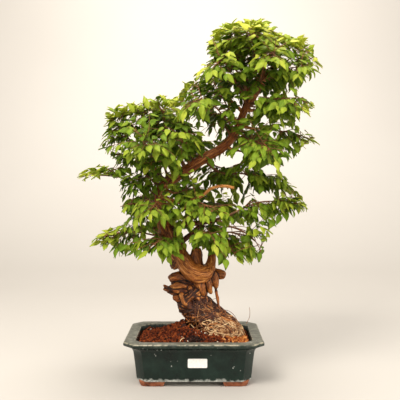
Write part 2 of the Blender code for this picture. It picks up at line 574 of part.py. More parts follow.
class Taken:
    """The space already held by wood and leaves, each with its middle and reach."""

    def __init__(self):
        self.entries = []

    def measure(self, verts, faces):
        middle = sum(verts, Vector()) / len(verts)
        reach = max((v - middle).length for v in verts)
        return middle, reach, BVHTree.FromPolygons(verts, faces)

    def add(self, verts, faces, owner):
        self.entries.append((*self.measure(verts, faces), owner))

    def free(self, verts, faces, skip=()):
        middle, reach, tree = self.measure(verts, faces)
        for other_middle, other_reach, other_tree, owner in self.entries:
            near = (middle - other_middle).length < reach + other_reach
            if near and owner not in skip and tree.overlap(other_tree):
                return False
        return True


class Stem:
    """A spray's three-sided stem, with a short ring pair wherever a leaf grows."""

    def __init__(self, branch, stem, rng):
        seat = Vector(branch[-1])
        start = seat + (Vector(stem[0]) - seat).normalized() * GAP
        curve = [Vector(p) for p in catmull([tuple(start), *stem], 12)]
        self.lengths = [0.0]
        for a, b in zip(curve, curve[1:]):
            self.lengths.append(self.lengths[-1] + (b - a).length)
        self.curve = curve
        self.total = self.lengths[-1]
        count = round((self.total - 14.0) / LEAF_SPACING)
        spacing = (self.total - 14.0) / count
        self.sites = [12.0 + spacing * (k + rng.uniform(-0.2, 0.2)) for k in range(count)]
        stations = [0.0]
        for site in self.sites:
            stations += [site - STALK_HALF, site + STALK_HALF]
        stations.append(self.total)
        self.frames = [self.frame(s) for s in stations]

    def at(self, s):
        for i in range(1, len(self.curve)):
            if self.lengths[i] >= s or i == len(self.curve) - 1:
                share = (s - self.lengths[i - 1]) / (self.lengths[i] - self.lengths[i - 1])
                return self.curve[i - 1].lerp(self.curve[i], share), self.curve[i] - self.curve[i - 1]

    def frame(self, s):
        """Middle, heading, left and up directions and radius at a distance along the stem."""
        centre, heading = self.at(s)
        heading.normalize()
        left = Vector((0, 0, 1)).cross(heading)
        if left.length < 0.3:
            left = Vector((0, 1, 0)).cross(heading)
        left.normalize()
        radius = SEAT_RADIUS + (STEM_TIP_RADIUS - SEAT_RADIUS) * s / self.total
        return centre, heading, left, heading.cross(left), radius

    def ring(self, frame):
        centre, _, left, up, radius = frame
        return [centre + (left * math.cos(math.radians(a)) + up * math.sin(math.radians(a))) * radius
                for a in (90, 210, 330)]


def outward(point):
    """Level direction from the middle of the crown at this height towards the light."""
    middle = Vector((CROWN_LEAN * (point.z - CROWN_LOW), 0, 0))
    away = Vector((point.x - middle.x, point.y, 0))
    return away.normalized() if away.length > 1 else Vector((0, -1, 0))


def place_leaf(site, stem, taken, rng, name, to_left):
    """Tries a leaf at seeded angles until it clears all the others; None if it can't."""
    last = site is None
    centre, heading, left, up, _ = stem.frames[-1] if last else stem.frame(site)
    out = Vector() if last else left * (1.0 if to_left else -1.0)
    light = outward(centre)
    for attempt in range(80):
        loose = 0.3 + 0.006 * attempt
        along = out * 0.9 + light * 0.2 + heading * (1.0 if last else rng.uniform(-0.1, 0.8))
        along += Vector([rng.uniform(-loose, loose) for _ in range(3)])
        along.z -= rng.uniform(0.0, 0.3 if last else 0.9)
        normal = up * 0.7 + light * rng.uniform(0.2, 0.9) + Vector((0, 0, 0.3))
        axes = leaf_frame(along, normal)
        across = heading * (1 if to_left else -1)
        if axes[2].dot(up) < 0.15 or (not last and axes[1].dot(across) < 0.25):
            continue
        length = rng.uniform(*LEAF_LENGTH) * (1 - 0.003 * attempt)
        width = length * LEAF_WIDTH * rng.uniform(0.92, 1.08)
        guard = blade_guard(centre, axes, length, width, 4.5, 2.2, CLEARANCE)
        whole = blade_guard(centre, axes, length, width, 1.8, 1.0, 0.0)
        if taken.free(*guard) and taken.free(*whole, {name + "_stem"}):
            taken.add(*whole, name)
            return centre, axes, length, width
    return None


def spray_mesh(stem, leaves, end_leaf):
    """One closed skin over the stem and all its leaves."""
    verts = [v for frame in stem.frames for v in stem.ring(frame)]
    faces = [(2, 1, 0)]
    for i in range(len(stem.frames) - 1):
        left_leaf, right_leaf = leaves.get(i, (None, None))
        for k in range(3):
            a, b = 3 * i + k, 3 * i + (k + 1) % 3
            if k == 2 and left_leaf:
                add_blade(verts, faces, (b + 3, a + 3, a, b), *left_leaf)
            elif k == 0 and right_leaf:
                add_blade(verts, faces, (a, b, b + 3, a + 3), *right_leaf)
            else:
                faces += [(a, b, b + 3), (a, b + 3, a + 3)]
    top = 3 * (len(stem.frames) - 1)
    if end_leaf:
        add_blade(verts, faces, (top, top + 1, top + 2, top), *end_leaf)
    else:
        faces.append((top, top + 1, top + 2))
    return verts, faces


def make_sprays(trunk):
    """Every leafy spray, its leaves raised from the stem and clear of every neighbour."""
    taken = Taken()
    mesh = trunk.data
    taken.add([v.co / MM for v in mesh.vertices], [tuple(p.vertices) for p in mesh.polygons], "trunk")
    leaf_green = principled("hornbeam_leaf", (0.16, 0.32, 0.035), 0.5)
    rngs = {name: random.Random(100 + i) for i, name in enumerate(SPRAYS)}
    stems = {name: Stem(branch, stem, rngs[name]) for name, (_, branch, stem) in SPRAYS.items()}
    for name, stem in stems.items():
        taken.add(*spray_mesh(stem, {}, None), name + "_stem")
    for name, stem in stems.items():
        rng = rngs[name]
        end_leaf = place_leaf(None, stem, taken, rng, name, True)
        leaves = {2 * k + 1: tuple(place_leaf(site, stem, taken, rng, name, to_left)
                                   for to_left in (True, False))
                  for k, site in enumerate(stem.sites)}
        make_object("spray_" + name, *spray_mesh(stem, leaves, end_leaf), leaf_green)


def main():
    for ob in list(bpy.data.objects):
        bpy.data.objects.remove(ob)
    make_pot()
    make_drain_meshes()
    make_label()
    make_soil()
    trunk = make_trunk()
    make_sprays(trunk)


main()
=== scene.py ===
"""Korean hornbeam bonsai in a glazed rectangular pot: the looks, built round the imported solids.

Metres in the scene. Tables of places and sizes are in millimetres and go through MM.
"""

import math
import random
from functools import partial

import bpy
import bmesh
from mathutils import Matrix, Vector, noise
from mathutils.bvhtree import BVHTree
from mathutils.kdtree import KDTree


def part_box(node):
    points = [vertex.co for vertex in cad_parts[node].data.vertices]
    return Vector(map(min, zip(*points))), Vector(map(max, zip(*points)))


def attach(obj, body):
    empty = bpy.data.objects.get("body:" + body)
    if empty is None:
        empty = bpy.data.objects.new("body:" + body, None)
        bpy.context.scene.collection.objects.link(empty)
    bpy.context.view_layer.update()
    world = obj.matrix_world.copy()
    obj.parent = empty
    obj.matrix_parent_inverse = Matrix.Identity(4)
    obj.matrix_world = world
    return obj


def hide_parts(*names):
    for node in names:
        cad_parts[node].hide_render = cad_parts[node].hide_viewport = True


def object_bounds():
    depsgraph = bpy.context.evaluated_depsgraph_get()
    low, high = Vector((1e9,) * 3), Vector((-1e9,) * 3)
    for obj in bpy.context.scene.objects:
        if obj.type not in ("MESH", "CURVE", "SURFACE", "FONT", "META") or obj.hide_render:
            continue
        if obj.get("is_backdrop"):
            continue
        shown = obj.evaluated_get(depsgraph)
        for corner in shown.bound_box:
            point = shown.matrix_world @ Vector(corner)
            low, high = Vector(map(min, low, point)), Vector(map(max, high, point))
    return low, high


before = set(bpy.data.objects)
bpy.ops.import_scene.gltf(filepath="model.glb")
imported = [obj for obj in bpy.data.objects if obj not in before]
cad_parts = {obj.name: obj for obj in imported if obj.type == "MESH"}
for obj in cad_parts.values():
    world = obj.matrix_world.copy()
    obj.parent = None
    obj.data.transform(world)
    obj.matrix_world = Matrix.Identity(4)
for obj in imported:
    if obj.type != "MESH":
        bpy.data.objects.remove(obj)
cad_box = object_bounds()
MM = 0.001


# Studio
# A camera level with the middle of the tree, a pale paper sweep that runs from the floor up behind
# it, and four soft boxes: high at the left, lower at the right, above the tree, and on the sweep.
CAMERA_PLACE = (-0.0033, -1.006, 0.316)
CAMERA_DOWN = math.radians(1.26)
CAMERA_LENS = 54.36
SWEEP_SIZE = 9.0
SWEEP_BACK = 2.2
SWEEP_FOLD = 1.4
SOFT_BOXES = {
    "key": ((-0.8, -1.3, 1.9), 0.9, 52.0, "#FFFAF2"),
    "fill": ((1.6, -1.3, 0.9), 1.4, 24.0, "#FFFBF6"),
    "top": ((0.2, 0.3, 1.9), 1.0, 23.0, "#FFFCF7"),
    "backdrop": ((0.0, 0.9, 1.6), 1.2, 28.0, "#FFFCF8"),
}
AIM = Vector((0, 0, 0.32))
BACKDROP_AIM = Vector((0, 2.2, 1.75))


def linear(colour):
    """An sRGB hex colour as the linear one that a shader takes."""
    channels = [int(colour[i:i + 2], 16) / 255 for i in (1, 3, 5)]
    return (*[c / 12.92 if c <= 0.04045 else ((c + 0.055) / 1.055) ** 2.4 for c in channels], 1.0)


def per_metre(size):
    """A pattern's scale, from the size of its grain in millimetres."""
    return 1 / (size * MM)


def link_up(material, node, links):
    """Links into a node, by socket. A node given as the source stands for its first open output."""
    for socket, source in dict(links).items():
        if isinstance(source, bpy.types.Node):
            source = next(output for output in source.outputs if output.enabled)
        material.node_tree.links.new(source, node.inputs[socket])


def shader_node(material, kind, settings=(), links=(), ramp=()):
    """One node of a material, with its settings by name, its links by socket and a ramp's colours."""
    made = material.node_tree.nodes.new("ShaderNode" + kind)
    for name, value in dict(settings).items():
        if isinstance(name, str) and hasattr(made, name):
            setattr(made, name, value)
        else:
            made.inputs[name].default_value = value
    link_up(material, made, links)
    for i, (place, colour) in enumerate(ramp):
        stop = made.color_ramp.elements[i] if i < 2 else made.color_ramp.elements.new(place)
        stop.position = place
        stop.color = linear(colour)
    return made


def new_material(name):
    """A new material, the function that adds nodes to it, and the place on the piece in metres."""
    material = bpy.data.materials.new(name)
    material.use_nodes = True
    return material, partial(shader_node, material), shader_node(material, "TexCoord").outputs["Object"]


def set_surface(material, links, settings):
    """The links and the plain settings of a material's surface shader."""
    shader = material.node_tree.nodes["Principled BSDF"]
    link_up(material, shader, links)
    for socket, value in settings.items():
        shader.inputs[socket].default_value = value
    return shader


def put_on(material, piece):
    """The material becomes the piece's only one."""
    piece.data.materials.clear()
    piece.data.materials.append(material)


def select_only(*pieces):
    """These pieces selected and nothing else, the first one active, so that operators act on them."""
    if bpy.context.object and bpy.context.object.mode != "OBJECT":
        bpy.ops.object.mode_set(mode="OBJECT")
    bpy.ops.object.select_all(action="DESELECT")
    for piece in pieces:
        piece.select_set(True)
    if pieces:
        bpy.context.view_layer.objects.active = pieces[0]


def select_in(piece, kind, test):
    """In edit mode, selects the faces, edges or vertices that pass a test, and nothing else."""
    bpy.ops.mesh.select_mode(type={"faces": "FACE", "edges": "EDGE", "verts": "VERT"}[kind])
    bpy.ops.mesh.select_all(action="DESELECT")
    mesh = bmesh.from_edit_mesh(piece.data)
    for element in getattr(mesh, kind):
        element.select = bool(test(element))
    mesh.select_flush_mode()
    bmesh.update_edit_mesh(piece.data)


bpy.ops.object.camera_add(location=CAMERA_PLACE, rotation=(math.pi / 2 - CAMERA_DOWN, 0, 0))
bpy.context.object.data.lens = CAMERA_LENS
bpy.context.scene.camera = bpy.context.object

select_only()
bpy.ops.mesh.primitive_plane_add(size=SWEEP_SIZE, location=(0, SWEEP_BACK - SWEEP_SIZE / 2, 0))
sweep = bpy.context.object
sweep.name = "paper_sweep"
bpy.ops.object.transform_apply(location=True)
bpy.ops.object.mode_set(mode="EDIT")
select_in(sweep, "edges", lambda e: min(v.co.y for v in e.verts) > SWEEP_BACK - 0.01)
bpy.ops.mesh.extrude_region_move(TRANSFORM_OT_translate={"value": (0, 0, SWEEP_SIZE / 2)})
select_in(sweep, "edges", lambda e: all(v.co.y > SWEEP_BACK - 0.01 and v.co.z < 0.01 for v in e.verts))
bpy.ops.mesh.bevel(offset=SWEEP_FOLD, segments=20, affect="EDGES")
bpy.ops.object.mode_set(mode="OBJECT")
sweep.data.shade_smooth()
# Matt background paper, off-white, with a faint unevenness, as light falls on a hanging sheet
paper, node, where = new_material("background_paper")
drift = node("TexNoise", {"Scale": per_metre(770), "Detail": 2.0}, {"Vector": where})
tint = node("ValToRGB", (), {"Fac": drift}, ((0.3, "#BAB5AE"), (0.7, "#BEB9B2")))
set_surface(paper, {"Base Color": tint}, {"Roughness": 0.9, "Specular IOR Level": 0.1})
put_on(paper, sweep)
sweep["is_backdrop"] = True

for name, (place, size, power, colour) in SOFT_BOXES.items():
    bpy.ops.object.light_add(type="AREA", location=place)
    box_light = bpy.context.object
    box_light.name = "soft_box_" + name
    box_light.data.size = size
    box_light.data.energy = power
    box_light.data.color = linear(colour)[:3]
    aim = BACKDROP_AIM if name == "backdrop" else AIM
    box_light.rotation_euler = (aim - Vector(place)).to_track_quat("-Z", "Y").to_euler()

# The even light of the room itself
world = bpy.data.worlds.new("room_light")
bpy.context.scene.world = world
world.use_nodes = True
background = world.node_tree.nodes["Background"]
background.inputs["Color"].default_value = linear("#FAF5EE")
background.inputs["Strength"].default_value = 0.8
bpy.context.scene.view_settings.view_transform = "Standard"


# Pot
# Press-moulded stoneware, 22 cm, with a flared rim and corners cut off. It is dipped in a dark green
# glaze down to the feet, which stay bare red clay. Hard water has left lime along its foot line.
POT_LOW, POT_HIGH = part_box("pot")
POT_X, POT_Y = (POT_LOW.x + POT_HIGH.x) / 2, (POT_LOW.y + POT_HIGH.y) / 2
RIM_HALF = ((POT_HIGH.x - POT_LOW.x) / 2, (POT_HIGH.y - POT_LOW.y) / 2)
# The outside going up, as (distance in from the rim's edge, height), and the inside going down
WALL_UP = [(21.2, 8.5), (20.0, 9.1), (19.5, 11.0), (17.4, 32.0), (15.3, 50.0)]
CAVETTO = [(15.1 * math.cos(math.radians(a)) + 0.2, 50.0 + 16.2 * math.sin(math.radians(a)))
           for a in (18, 34, 48, 62, 76, 88)]
RIM_OVER = [(0.0, 67.6), (0.0, 70.2), (0.7, 72.0), (2.4, 73.0), (15.6, 72.7), (17.6, 71.6), (18.9, 68.0)]
WALL_DOWN = [(21.0, 54.0), (25.0, 19.5), (28.0, 15.5)]
BODY_CUT = 0.014
ARRIS = 0.0024
# Two drain holes, drilled through the floor
DRAIN_X = 0.042
DRAIN_RADIUS = 0.008
DRAIN_DEPTH = 0.02
DRAIN_MIDDLE = 0.012


def modify(piece, kind, **settings):
    """A modifier with its settings, added and applied."""
    bpy.context.view_layer.objects.active = piece
    added = piece.modifiers.new(kind.lower(), kind)
    for name, value in settings.items():
        setattr(added, name, value)
    bpy.ops.object.modifier_apply(modifier=added.name)


def finish_piece(piece, slot, *nodes):
    """The piece rides on the standing tree and hides the solids that it stands for. Its slot is not used.
    """
    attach(piece, "root")
    if nodes:
        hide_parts(*nodes)


select_only()
start = WALL_UP[0]
bpy.ops.mesh.primitive_plane_add(size=2.0, location=(POT_X, POT_Y, start[1] * MM))
pot = bpy.context.object
pot.name = "pot_glazed"
pot.scale = (RIM_HALF[0] - start[0] * MM, RIM_HALF[1] - start[0] * MM, 1)
bpy.ops.object.transform_apply(location=True, scale=True)
bpy.ops.object.mode_set(mode="EDIT")
bpy.ops.mesh.select_all(action="SELECT")
bpy.ops.mesh.bevel(offset=BODY_CUT, affect="VERTICES", segments=1)
bpy.ops.mesh.flip_normals()
before = start
for step in WALL_UP[1:] + CAVETTO + RIM_OVER + WALL_DOWN:
    bpy.ops.mesh.extrude_region_move(TRANSFORM_OT_translate={"value": (0, 0, (step[1] - before[1]) * MM)})
    shrink = [(half - step[0] * MM) / (half - before[0] * MM) for half in RIM_HALF]
    bpy.ops.transform.resize(value=(*shrink, 1), center_override=(POT_X, POT_Y, 0))
    before = step
bpy.ops.mesh.select_all(action="SELECT")
bpy.ops.mesh.normals_make_consistent(inside=False)
bpy.ops.object.mode_set(mode="OBJECT")
modify(pot, "BEVEL", width=ARRIS, segments=3, limit_method="ANGLE", angle_limit=math.radians(28))
for x in (-DRAIN_X, DRAIN_X):
    select_only()
    bpy.ops.mesh.primitive_cylinder_add(vertices=24, radius=DRAIN_RADIUS, depth=DRAIN_DEPTH,
                                        location=(POT_X + x, POT_Y, DRAIN_MIDDLE))
    drill = bpy.context.object
    modify(pot, "BOOLEAN", operation="DIFFERENCE", object=drill)
    bpy.data.objects.remove(drill)
select_only(pot)
bpy.ops.object.shade_smooth_by_angle(angle=math.radians(32))

# Stoneware glaze, dark green over iron clay: glassy, mottled, thin and pale where it ran off the
# rim's edges, grey with dust and hard water on top, with a crust of lime at the foot
glaze, node, where = new_material("stoneware_glaze")
xyz = node("SeparateXYZ", (), {"Vector": where})
mottle = node("TexNoise", {"Scale": per_metre(26.3), "Detail": 6.0, "Roughness": 0.6}, {"Vector": where})
body = node("ValToRGB", (), {"Fac": mottle}, ((0.28, "#0C1512"), (0.75, "#1F3029"), (0.5, "#12221C")))
facing = node("NewGeometry")
upward = node("SeparateXYZ", (), {"Vector": facing.outputs["Normal"]})
on_top = node("MapRange", {"From Min": 0.35, "From Max": 0.95}, {"Value": upward.outputs["Z"]})
near_rim = node("MapRange", {"From Min": 0.0655, "From Max": 0.071}, {"Value": xyz.outputs["Z"]})
dust_noise = node("TexNoise", {"Scale": per_metre(10.53), "Detail": 7.0, "Roughness": 0.65},
                  {"Vector": where})
dust = node("ValToRGB", (), {"Fac": dust_noise}, ((0.3, "#4A4B42"), (0.72, "#8C8B7E"), (0.5, "#656559")))
wiped = node("MapRange", {"From Min": 0.35, "From Max": 0.65, "To Min": 0.03, "To Max": 0.24},
             {"Value": dust_noise})
settled = node("Math", {"operation": "MAXIMUM"}, {0: on_top, 1: wiped})
dusty = node("Math", {"operation": "MULTIPLY"}, {0: settled, 1: near_rim})
topped = node("Mix", {"data_type": "RGBA"}, {"Factor": dusty, 6: body, 7: dust})
# The worn edge: a thin broken line round the rim's upper arris
edge_up = node("MapRange", {"From Min": 0.0704, "From Max": 0.0716}, {"Value": xyz.outputs["Z"]})
edge_out = node("MapRange", {"From Min": 0.985, "From Max": 0.8}, {"Value": upward.outputs["Z"]})
wear_noise = node("TexNoise", {"Scale": per_metre(7.14), "Detail": 5.0}, {"Vector": where})
wear = node("MapRange", {"From Min": 0.42, "From Max": 0.58}, {"Value": wear_noise})
edge = node("Math", {"operation": "MULTIPLY"}, {0: edge_up, 1: edge_out})
worn = node("Math", {"operation": "MULTIPLY"}, {0: edge, 1: wear})
rimmed = node("Mix", {"data_type": "RGBA", 7: linear("#A8A08A")}, {"Factor": worn, 6: topped})
# Lime: a ragged band up to about 5 mm above the glaze's lower edge, and a few splashed specks
ragged = node("TexNoise", {"Scale": per_metre(8.33), "Detail": 4.0}, {"Vector": where})
reach = node("MapRange", {"From Min": 0.3, "From Max": 0.7, "To Min": 0.0098, "To Max": 0.0152},
             {"Value": ragged})
above = node("Math", {"operation": "SUBTRACT"}, {0: reach, 1: xyz.outputs["Z"]})
soft_band = node("MapRange", {"From Min": -0.0006, "From Max": 0.003}, {"Value": above})
thin = node("TexNoise", {"Scale": per_metre(2.38), "Detail": 4.0, "Roughness": 0.7}, {"Vector": where})
thinned = node("MapRange", {"From Min": 0.35, "From Max": 0.6, "To Min": 0.35}, {"Value": thin})
lime_band = node("Math", {"operation": "MULTIPLY"}, {0: soft_band, 1: thinned})
specks = node("TexVoronoi", {"Scale": per_metre(6.67), "Randomness": 1.0}, {"Vector": where})
speck = node("MapRange", {"From Min": 0.14, "From Max": 0.08}, {"Value": specks})
patches = node("TexNoise", {"Scale": per_metre(45.5), "Detail": 1.0}, {"Vector": where})
patch = node("MapRange", {"From Min": 0.6, "From Max": 0.66}, {"Value": patches})
splash = node("Math", {"operation": "MULTIPLY"}, {0: speck, 1: patch})
lime = node("Math", {"operation": "MAXIMUM"}, {0: lime_band, 1: splash})
limed = node("Mix", {"data_type": "RGBA", 7: linear("#C8CAC2")}, {"Factor": lime, 6: rimmed})
matt = node("Math", {"operation": "MAXIMUM"}, {0: lime, 1: dusty})
rough = node("MapRange", {"To Min": 0.24, "To Max": 0.62}, {"Value": matt})
orange_peel = node("TexNoise", {"Scale": per_metre(3.85), "Detail": 3.0}, {"Vector": where})
relief = node("Bump", {"Strength": 0.16, "Distance": 0.0006}, {"Height": orange_peel})
set_surface(glaze, {"Base Color": limed, "Roughness": rough, "Normal": relief},
            {"IOR": 1.5, "Specular IOR Level": 0.25, "Coat Weight": 0.08, "Coat Roughness": 0.15})
put_on(glaze, pot)
finish_piece(pot, "pot_glaze", "pot")


# Feet
# The pot's four corner feet, in one piece with it: bare red stoneware, browned by damp where they
# stand. Each is an L that follows the corner, with its ends drawn in towards the ground.
FOOT_HALF = (0.08885, 0.06085)
FOOT_HEIGHT = 0.0097
FOOT_WIDTH = 0.013
FOOT_REACH = (0.031, 0.023)
FOOT_CUT = 0.011875
FOOT_DRAWN_IN = (0.84, 0.82)
FOOT_ARRIS = 0.0011


def join(pieces, name):
    """Several pieces made one."""
    select_only(*pieces)
    bpy.ops.object.join()
    pieces[0].name = name
    return pieces[0]


feet = []
for sign_x in (-1, 1):
    for sign_y in (-1, 1):
        select_only()
        middle = (POT_X + sign_x * (FOOT_HALF[0] - FOOT_WIDTH / 2),
                  POT_Y + sign_y * (FOOT_HALF[1] - FOOT_WIDTH / 2))
        bpy.ops.mesh.primitive_cube_add(size=1.0, location=(*middle, FOOT_HEIGHT / 2))
        foot = bpy.context.object
        foot.scale = (FOOT_WIDTH, FOOT_WIDTH, FOOT_HEIGHT)
        bpy.ops.object.transform_apply(location=True, scale=True)
        bpy.ops.object.mode_set(mode="EDIT")
        for axis, sign in ((0, sign_x), (1, sign_y)):
            select_in(foot, "faces", lambda f: f.normal[axis] * sign < -0.9
                      and abs(f.calc_center_median()[1 - axis] - middle[1 - axis]) < 0.003
                      and abs(f.calc_center_median()[axis] - middle[axis]) < FOOT_WIDTH)
            away = [0.0, 0.0, 0.0]
            away[axis] = -sign * FOOT_REACH[axis]
            bpy.ops.mesh.extrude_region_move(TRANSFORM_OT_translate={"value": away})
        select_in(foot, "edges", lambda e: abs(e.verts[0].co.z - e.verts[1].co.z) > FOOT_HEIGHT / 2
                  and (e.verts[0].co.x - middle[0]) * sign_x > FOOT_WIDTH * 0.4
                  and (e.verts[0].co.y - middle[1]) * sign_y > FOOT_WIDTH * 0.4)
        bpy.ops.mesh.bevel(offset=FOOT_CUT, segments=3, affect="EDGES")
        select_in(foot, "verts", lambda v: v.co.z < 0.001)
        bpy.ops.transform.resize(value=(*FOOT_DRAWN_IN, 1), center_override=(
            middle[0] - sign_x * FOOT_REACH[0] / 2, middle[1] - sign_y * FOOT_REACH[1] / 2, 0))
        bpy.ops.object.mode_set(mode="OBJECT")
        feet.append(foot)
feet = join(feet, "pot_feet")
modify(feet, "BEVEL", width=FOOT_ARRIS, segments=2)
bpy.ops.object.shade_smooth_by_angle(angle=math.radians(40))
# Bare stoneware clay: matt, orange-brown, blotched darker by damp and handling. Its grit is drawn at
# 1 mm, coarser than it is, so that it shows.
clay, node, where = new_material("bare_stoneware_clay")
blotch = node("TexNoise", {"Scale": per_metre(11.76), "Detail": 5.0, "Roughness": 0.65}, {"Vector": where})
colour = node("ValToRGB", (), {"Fac": blotch}, ((0.3, "#402010"), (0.72, "#AA6A46"), (0.46, "#844729")))
grit = node("TexNoise", {"Scale": per_metre(1.11), "Detail": 2.0}, {"Vector": where})
relief = node("Bump", {"Strength": 0.4, "Distance": 0.0004}, {"Height": grit})
set_surface(clay, {"Base Color": colour, "Normal": relief}, {"Roughness": 0.82})
put_on(clay, feet)
finish_piece(feet, "pot_glaze")


# Netting
# Black polyethylene netting over the two drain holes, hidden under the soil. The solids have its
# eyes already, so they stay and get the plastic's look, satin and lightly scuffed.
net_plastic, node, where = new_material("polyethylene_netting")
scuff = node("TexNoise", {"Scale": per_metre(2.5), "Detail": 3.0}, {"Vector": where})
colour = node("ValToRGB", (), {"Fac": scuff}, ((0.3, "#101112"), (0.7, "#26282A")))
set_surface(net_plastic, {"Base Color": colour}, {"Roughness": 0.55})
for name in ("drain_mesh_left", "drain_mesh_right"):
    put_on(net_plastic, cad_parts[name])


# Label
# A small die-cut label with round corners, stuck to the pot's front and left blank. The solid is its
# exact shape, so it stays and gets the look of coated paper: smooth, off-white, with fibres drawn
# coarser than they are, so that they show.
label_paper, node, where = new_material("coated_label_paper")
fibre = node("TexNoise", {"Scale": per_metre(3.33), "Detail": 4.0}, {"Vector": where})
colour = node("ValToRGB", (), {"Fac": fibre}, ((0.3, "#E6E4DE"), (0.7, "#F7F6F1")))
relief = node("Bump", {"Strength": 0.08, "Distance": 0.0003}, {"Height": fibre})
set_surface(label_paper, {"Base Color": colour, "Normal": relief}, {"Roughness": 0.42})
put_on(label_paper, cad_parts["label"])


# Soil
# Red-brown baked clay grains, 3 to 4.5 mm, sieved and dry on top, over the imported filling. Paler
# orange grains were added at the right and a spoonful of dark humus lies at the front.
GRAIN_STEP = 0.0031
GRAIN_SIZE = (0.0013, 0.0023)
GRAIN_SHIFT = 0.0011
GRAIN_ANGULAR = 0.38
# A second thin layer, scattered: how many grains and how much higher they lie
GRAIN_LOOSE = 900
LOOSE_LIFT = 0.0018
GRAIN_TONES = (0.0, 0.52)
SOIL_HALF = (0.0905, 0.0625)
SOIL_CUT = 0.012
# Where the pale grains, the humus and the white pumice lie, as (x, y, radius)
PALE_GRAINS = (0.068, -0.036, 0.032)
HUMUS = (-0.014, -0.05, 0.0145)
PUMICE = (-0.01, -0.034, 0.016)
PALE_TONE, HUMUS_TONE, PUMICE_TONE = 0.34, -0.5, 1.0
HUMUS_SIZE, PUMICE_SIZE = 0.6, 0.75
# The share of grains that are pumice, inside that spot and elsewhere
PUMICE_SHARES = (0.045, 0.007)
rng = random.Random(3)


def surface_tree(node):
    """A search tree of a solid, for finding its surface."""
    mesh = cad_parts[node].data
    return BVHTree.FromPolygons([v.co for v in mesh.vertices], [tuple(p.vertices) for p in mesh.polygons])


def set_tone(piece, tone):
    """How light the piece is within its material, which the material reads point by point."""
    layer = piece.data.attributes.new("tone", "FLOAT", "POINT")
    layer.data.foreach_set("value", [tone] * len(piece.data.vertices))


def copy_of(pattern, matrix, tone):
    """A copy of a modelled piece with a mesh of its own, moved to its place."""
    piece = pattern.copy()
    piece.data = pattern.data.copy()
    piece.data.transform(matrix)
    set_tone(piece, tone)
    bpy.context.scene.collection.objects.link(piece)
    return piece


soil_tree, wood_tree = surface_tree("soil"), surface_tree("trunk")
grain_shapes = []
for _ in range(4):
    select_only()
    bpy.ops.mesh.primitive_ico_sphere_add(subdivisions=1, radius=1.0)
    bpy.ops.object.mode_set(mode="EDIT")
    bpy.ops.mesh.select_all(action="SELECT")
    bpy.ops.transform.vertex_random(offset=GRAIN_ANGULAR, seed=rng.randrange(1000))
    bpy.ops.object.mode_set(mode="OBJECT")
    grain_shapes.append(bpy.context.object)


def soil_point(x, y):
    """The filling's surface below a point of the mouth, or nothing where wood or the wall is."""
    across, along = abs(x - POT_X), abs(y - POT_Y)
    if across > SOIL_HALF[0] or along > SOIL_HALF[1] or across + along > sum(SOIL_HALF) - SOIL_CUT:
        return None
    ground = soil_tree.ray_cast(Vector((x, y, 0.2)), Vector((0, 0, -1)))[0]
    wood = wood_tree.ray_cast(Vector((x, y, 0.105)), Vector((0, 0, -1)))[0]
    if ground is None or (wood is not None and wood.z > ground.z + 0.001):
        return None
    return ground


places = []
across = POT_X - SOIL_HALF[0]
while across < POT_X + SOIL_HALF[0]:
    along = POT_Y - SOIL_HALF[1]
    while along < POT_Y + SOIL_HALF[1]:
        places.append((across + rng.uniform(-GRAIN_SHIFT, GRAIN_SHIFT),
                       along + rng.uniform(-GRAIN_SHIFT, GRAIN_SHIFT), 0.0))
        along += GRAIN_STEP
    across += GRAIN_STEP
places += [(POT_X + rng.uniform(-1, 1) * SOIL_HALF[0], POT_Y + rng.uniform(-1, 1) * SOIL_HALF[1],
            LOOSE_LIFT) for _ in range(GRAIN_LOOSE)]
grains = []
for x, y, lift in places:
    ground = soil_point(x, y)
    if ground is None:
        continue
    size = rng.uniform(*GRAIN_SIZE)
    pale = math.hypot(x - PALE_GRAINS[0], y - PALE_GRAINS[1]) < PALE_GRAINS[2] * rng.uniform(0.6, 1.4)
    dark = math.hypot(x - HUMUS[0], (y - HUMUS[1]) * 1.5) < HUMUS[2] * rng.uniform(0.6, 1.2)
    spilled = math.hypot(x - PUMICE[0], y - PUMICE[1]) < PUMICE[2]
    tone = rng.uniform(*GRAIN_TONES) + (PALE_TONE if pale else 0.0)
    if dark:
        size, tone = size * HUMUS_SIZE, HUMUS_TONE
    elif rng.random() < PUMICE_SHARES[0 if spilled else 1]:
        size, tone = size * PUMICE_SIZE, PUMICE_TONE
    turn = Matrix.Rotation(rng.uniform(0, math.tau), 4, Vector([rng.uniform(-1, 1) for _ in range(3)]))
    at = Matrix.Translation(ground + Vector((0, 0, lift + size * 0.3)))
    scale = Matrix.Diagonal((size, size, size, 1))
    grains.append(copy_of(rng.choice(grain_shapes), at @ turn @ scale, tone))
for shape in grain_shapes:
    bpy.data.objects.remove(shape)
grains = join(grains, "soil_grains")
# Baked clay grains: matt and porous, red-brown, each grain its own shade; humus nearly black
baked, node, where = new_material("baked_clay_grains")
tone = node("Attribute", {"attribute_name": "tone"})
pit = node("TexNoise", {"Scale": per_metre(1.43), "Detail": 3.0}, {"Vector": where})
shade = node("MapRange", {"To Min": -0.16, "To Max": 0.16}, {"Value": pit})
total = node("Math", {"operation": "ADD"}, {0: tone.outputs["Fac"], 1: shade})
colour = node("ValToRGB", (), {"Fac": total},
              ((0.0, "#1E0D06"), (1.0, "#F2E6D2"), (0.12, "#451A0B"), (0.33, "#6C2E14"), (0.56, "#934A22"),
               (0.86, "#DE9A52")))
relief = node("Bump", {"Strength": 0.5, "Distance": 0.0005}, {"Height": pit})
set_surface(baked, {"Base Color": colour, "Normal": relief},
            {"Roughness": 0.92, "Specular IOR Level": 0.15})
put_on(baked, grains)
finish_piece(grains, "clay_grains")
